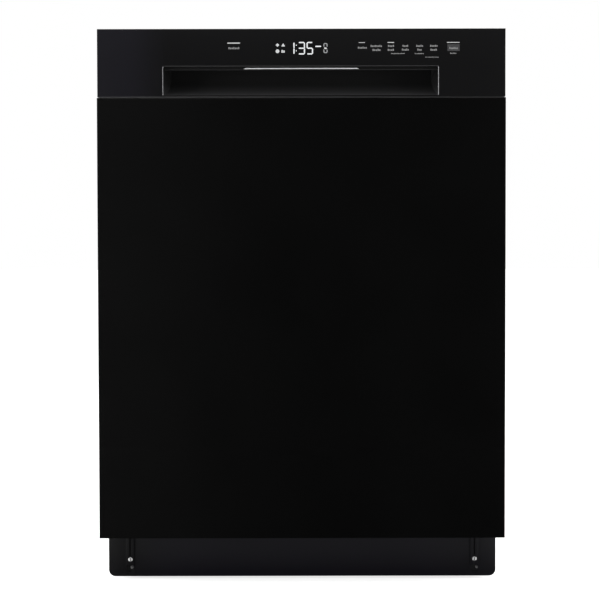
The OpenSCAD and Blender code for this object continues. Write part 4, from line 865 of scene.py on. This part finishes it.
# %% Keyholes
def pin(name, x, z, radius, y0, y1, round_by=0.0):
    """A round pin along Y, with its front edge rounded."""
    deselect()
    bpy.ops.mesh.primitive_cylinder_add(vertices=32, radius=radius * MM, depth=(y1 - y0) * MM,
                                        location=(x * MM, (y0 + y1) / 2 * MM, z * MM),
                                        rotation=(math.radians(90), 0, 0))
    made = settle(bpy.context.object)
    made.name = name
    if round_by:
        pick(made, "EDGE", lambda edge: near(edge.verts[0].co.y / MM, y0) and near(edge.verts[1].co.y / MM, y0))
        bpy.ops.mesh.bevel(offset=round_by * MM, segments=5, affect="EDGES")
        bpy.ops.object.mode_set(mode="OBJECT")
    return made


def cut(piece, cutter):
    modifier(piece, "BOOLEAN", operation="DIFFERENCE", object=cutter, solver="EXACT")
    bpy.data.objects.remove(cutter)


for side in (-1, 1):
    x = side * slot_x
    cut(plate, pin("cutter", x, keyhole_z, 5.8, plate_front - 6, plate_front + 6))
    cut(plate, block("cutter", (x - 1.0, plate_front - 6, keyhole_z + 8),
                     (x + 1.0, plate_front + 6, kick_high[2] - 2)))
modifier(plate, "BEVEL", width=0.25 * MM, segments=2, limit_method="ANGLE", angle_limit=math.radians(50))
smooth(plate)
dress(plate, powder, "cabinet")
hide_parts("kick_plate")

# %% [markdown]
# Each keyhole has a screw in its slot, with a rounded head and one straight groove. Its head is bright zinc with
# painted light, and painted shade darkens its downward faces and the groove's foot. A second screw sits deeper,
# behind the round hole, all in painted shade. No two of them stand quite alike.

# %% Screws of the kick plate
head_front = plate_front - 2.4
screws, shaded_screw_parts = [], []
for side, head_up, deep_in in ((-1, 13.2, 2.6), (1, 13.7, 4.4)):
    x = side * slot_x
    head_x, head_z = x + 0.4, keyhole_z + head_up
    head = pin("screw_head", head_x, head_z, 3.7, head_front, plate_front + 0.1, 2.0)
    # The kept groove block is the groove's floor, in the painted shade colour.
    for y0, y1, kept in ((head_front - 1, head_front + 1.6, False), (head_front + 0.7, head_front + 1.6, True)):
        groove = block("groove", (-0.85, y0, -3.2 if kept else -6), (0.85, y1, 3.2 if kept else 6))
        groove.rotation_euler = (0, side * math.radians(14), 0)
        groove.location = (head_x * MM, 0, head_z * MM)
        settle(groove)
        if kept:
            shaded_screw_parts.append(groove)
        else:
            cut(head, groove)
    screws += [head, pin("screw_shank", head_x, head_z, 0.9, plate_front, plate_front + 9)]
    # The deeper screw takes the painted shade colour all over.
    deep_x, deep_z = x + deep_in, keyhole_z + 0.8
    head = pin("deep_head", deep_x, deep_z, 2.5, plate_front + 2.4, plate_front + 5, 1.2)
    cut(head, block("cutter", (deep_x - 2.6, plate_front, deep_z + 0.6),
                    (deep_x + 2.6, plate_front + 3.4, deep_z + 1.4)))
    shaded_screw_parts.append(head)
bright_painted_lit_screws = join("kick_screws_upper", screws)
smooth(bright_painted_lit_screws)
dress(bright_painted_lit_screws, screw_painted_light, "cabinet")
# Painted shade on the heads' downward faces.
finish_faces(bright_painted_lit_screws, screw_painted_shade, lambda face: face.normal.z < -0.35)
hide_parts("kick_screws")
shaded_screws = join("kick_screws_lower", shaded_screw_parts)
smooth(shaded_screws)
dress(shaded_screws, screw_painted_shade, "cabinet")

# %% [markdown]
# ## Springs
# A balance spring is a close helix. A small ring of points is swept by the Screw modifier, once round for each coil,
# and the spring lies between the cabinet and the link that the door pulls.

# %% Helix
WIRE_R, PITCH = 1.05, 2.9
END_ROOM, START_ROOM = 9, 2  # straight length left at both ends together, and at the front one
spring_low, spring_high = size_of("balance_springs")
coil = (spring_high[2] - spring_low[2]) / 2
for side, name in ((-1, "spring_left"), (1, "spring_right")):
    x = side * (spring_high[0] - coil)
    z = (spring_low[2] + spring_high[2]) / 2
    deselect()
    bpy.ops.mesh.primitive_circle_add(vertices=8, radius=WIRE_R * MM, location=((coil - WIRE_R) * MM, 0, 0),
                                      rotation=(math.radians(90), 0, 0))
    spring = settle(bpy.context.object)
    spring.name = name
    length = spring_high[1] - spring_low[1] - END_ROOM
    turns = int(length / PITCH)
    modifier(spring, "SCREW", angle=math.radians(360), screw_offset=length / turns * MM, iterations=turns, steps=14,
             render_steps=14, axis="Z", use_merge_vertices=False, use_normal_calculate=True)
    spring.rotation_euler = (math.radians(-90), 0, 0)
    spring.location = (x * MM, (spring_low[1] + START_ROOM) * MM, z * MM)
    settle(spring)
    pick(spring, "EDGE", lambda edge: edge.is_boundary)
    bpy.ops.mesh.edge_face_add()
    bpy.ops.mesh.select_all(action="SELECT")
    bpy.ops.mesh.normals_make_consistent(inside=False)
    bpy.ops.object.mode_set(mode="OBJECT")
    smooth(spring, 60)
    spring.data.materials.append(mild_steel.material)
    x * MM
    x * MM
    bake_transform(spring)
    if side < 0:
        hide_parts("balance_springs")

# %% [markdown]
# ## Studio
# The floor and the background are white for the camera, and in reflections too, so bright metal shows them. What
# falls on the machine itself stays at a plain level. The floor still takes the machine's shadow, because only part
# of its light is its own.

# %% Floor
FLOOR_GLOW, ROOM_LIGHT = 0.75, 0.55
deselect()
bpy.ops.mesh.primitive_plane_add(size=30, location=(0, 0, 0))
floor = bpy.context.object
floor.name = "studio_floor"
floor_paint = Recipe("floor_white")
paint_tone = floor_paint.noise(2.0, 2.0)
seen_rays = floor_paint.node("ShaderNodeLightPath", output="Is Camera Ray")
mirror_rays = floor_paint.node("ShaderNodeLightPath", output="Is Glossy Ray")
glass_rays = floor_paint.node("ShaderNodeLightPath", output="Is Transmission Ray")
shown = seen_rays.maths("MAXIMUM", seen_rays.maths("MAXIMUM", seen_rays, mirror_rays), glass_rays)
floor_paint.set(base_color=floor_paint.colours(paint_tone, (0.90, 0.90, 0.90), (0.92, 0.92, 0.92)), roughness=0.9,
                specular=0.1, emission_color=(1, 1, 1, 1))
floor_paint.put(floor_paint.shader.inputs["Emission Strength"], shown * FLOOR_GLOW)
floor.data.materials.append(floor_paint.material)

# %% Background
world = bpy.data.worlds.new("studio")
bpy.context.scene.world = world
world.use_nodes = True
sky = world.node_tree
background = sky.nodes["Background"]
background.inputs["Color"].default_value = (1, 1, 1, 1)
ray = sky.nodes.new("ShaderNodeLightPath")


def either(a, b):
    larger = sky.nodes.new("ShaderNodeMath")
    larger.operation = "MAXIMUM"
    sky.links.new(a, larger.inputs[0])
    sky.links.new(b, larger.inputs[1])
    return larger.outputs[0]


shown_sky = either(either(ray.outputs["Is Camera Ray"], ray.outputs["Is Glossy Ray"]),
                   ray.outputs["Is Transmission Ray"])
level_of = sky.nodes.new("ShaderNodeMapRange")
level_of.inputs["To Min"].default_value, level_of.inputs["To Max"].default_value = ROOM_LIGHT, 1.0
sky.links.new(shown_sky, level_of.inputs["Value"])
sky.links.new(level_of.outputs["Result"], background.inputs["Strength"])

# %% [markdown]
# A black, glossy front mirrors whatever stands before it, and a white room would make it grey, so studios stand a
# black card there. This one is seen by reflections alone: the camera looks through it, and it throws no shadow. Its
# foot runs back over the floor to the kick plate.

# %% Black card before the door
CARD_AHEAD, CARD_MIDDLE, CARD_WIDTH, CARD_HEIGHT = 0.95, 0.727, 3.4, 1.45
deselect()
bpy.ops.mesh.primitive_plane_add(size=1, location=(0, -CARD_AHEAD, CARD_MIDDLE), rotation=(math.radians(90), 0, 0))
card = bpy.context.object
card.name = "studio_card"
card.scale = (CARD_WIDTH, CARD_HEIGHT, 1)
settle(card)
pick(card, "EDGE", lambda edge: middle(edge).z < 10)
bpy.ops.mesh.extrude_region_move(TRANSFORM_OT_translate={"value": (0, CARD_AHEAD + kick_low[1] * MM - 0.002, 0)})
bpy.ops.object.mode_set(mode="OBJECT")
card_paint = Recipe("card_black")
card_paint.set(base_color=card_paint.colours(card_paint.noise(30.0), (0.001, 0.001, 0.001), (0.002, 0.002, 0.002)),
               roughness=1.0, specular=0.0)
card.data.materials.append(card_paint.material)
card.visible_camera = card.visible_diffuse = card.visible_shadow = card.visible_transmission = False


# %% Lamps
def lamp(name, place, aim, width, height, power):
    data = bpy.data.lights.new(name, "AREA")
    data.shape, data.size, data.size_y, data.energy = "RECTANGLE", width, height, power
    made = bpy.data.objects.new(name, data)
    bpy.context.scene.collection.objects.link(made)
    made.location = place
    made.rotation_euler = (Vector(aim) - Vector(place)).to_track_quat("-Z", "Y").to_euler()
    return made


lamp("lamp_left", (-2.3, -1.3, 0.9), (0, -0.2, 0.5), 0.9, 2.0, 44)
lamp("lamp_right", (2.3, -1.3, 0.9), (0, -0.2, 0.5), 0.9, 2.0, 26)
lamp("lamp_top", (0, -0.9, 2.6), (0, 0, 0.4), 2.4, 1.2, 36)
lamp("lamp_back", (0.6, 2.4, 1.8), (0, 0, 0.4), 2.0, 1.2, 40)

bpy.context.scene.view_settings.view_transform = "Standard"
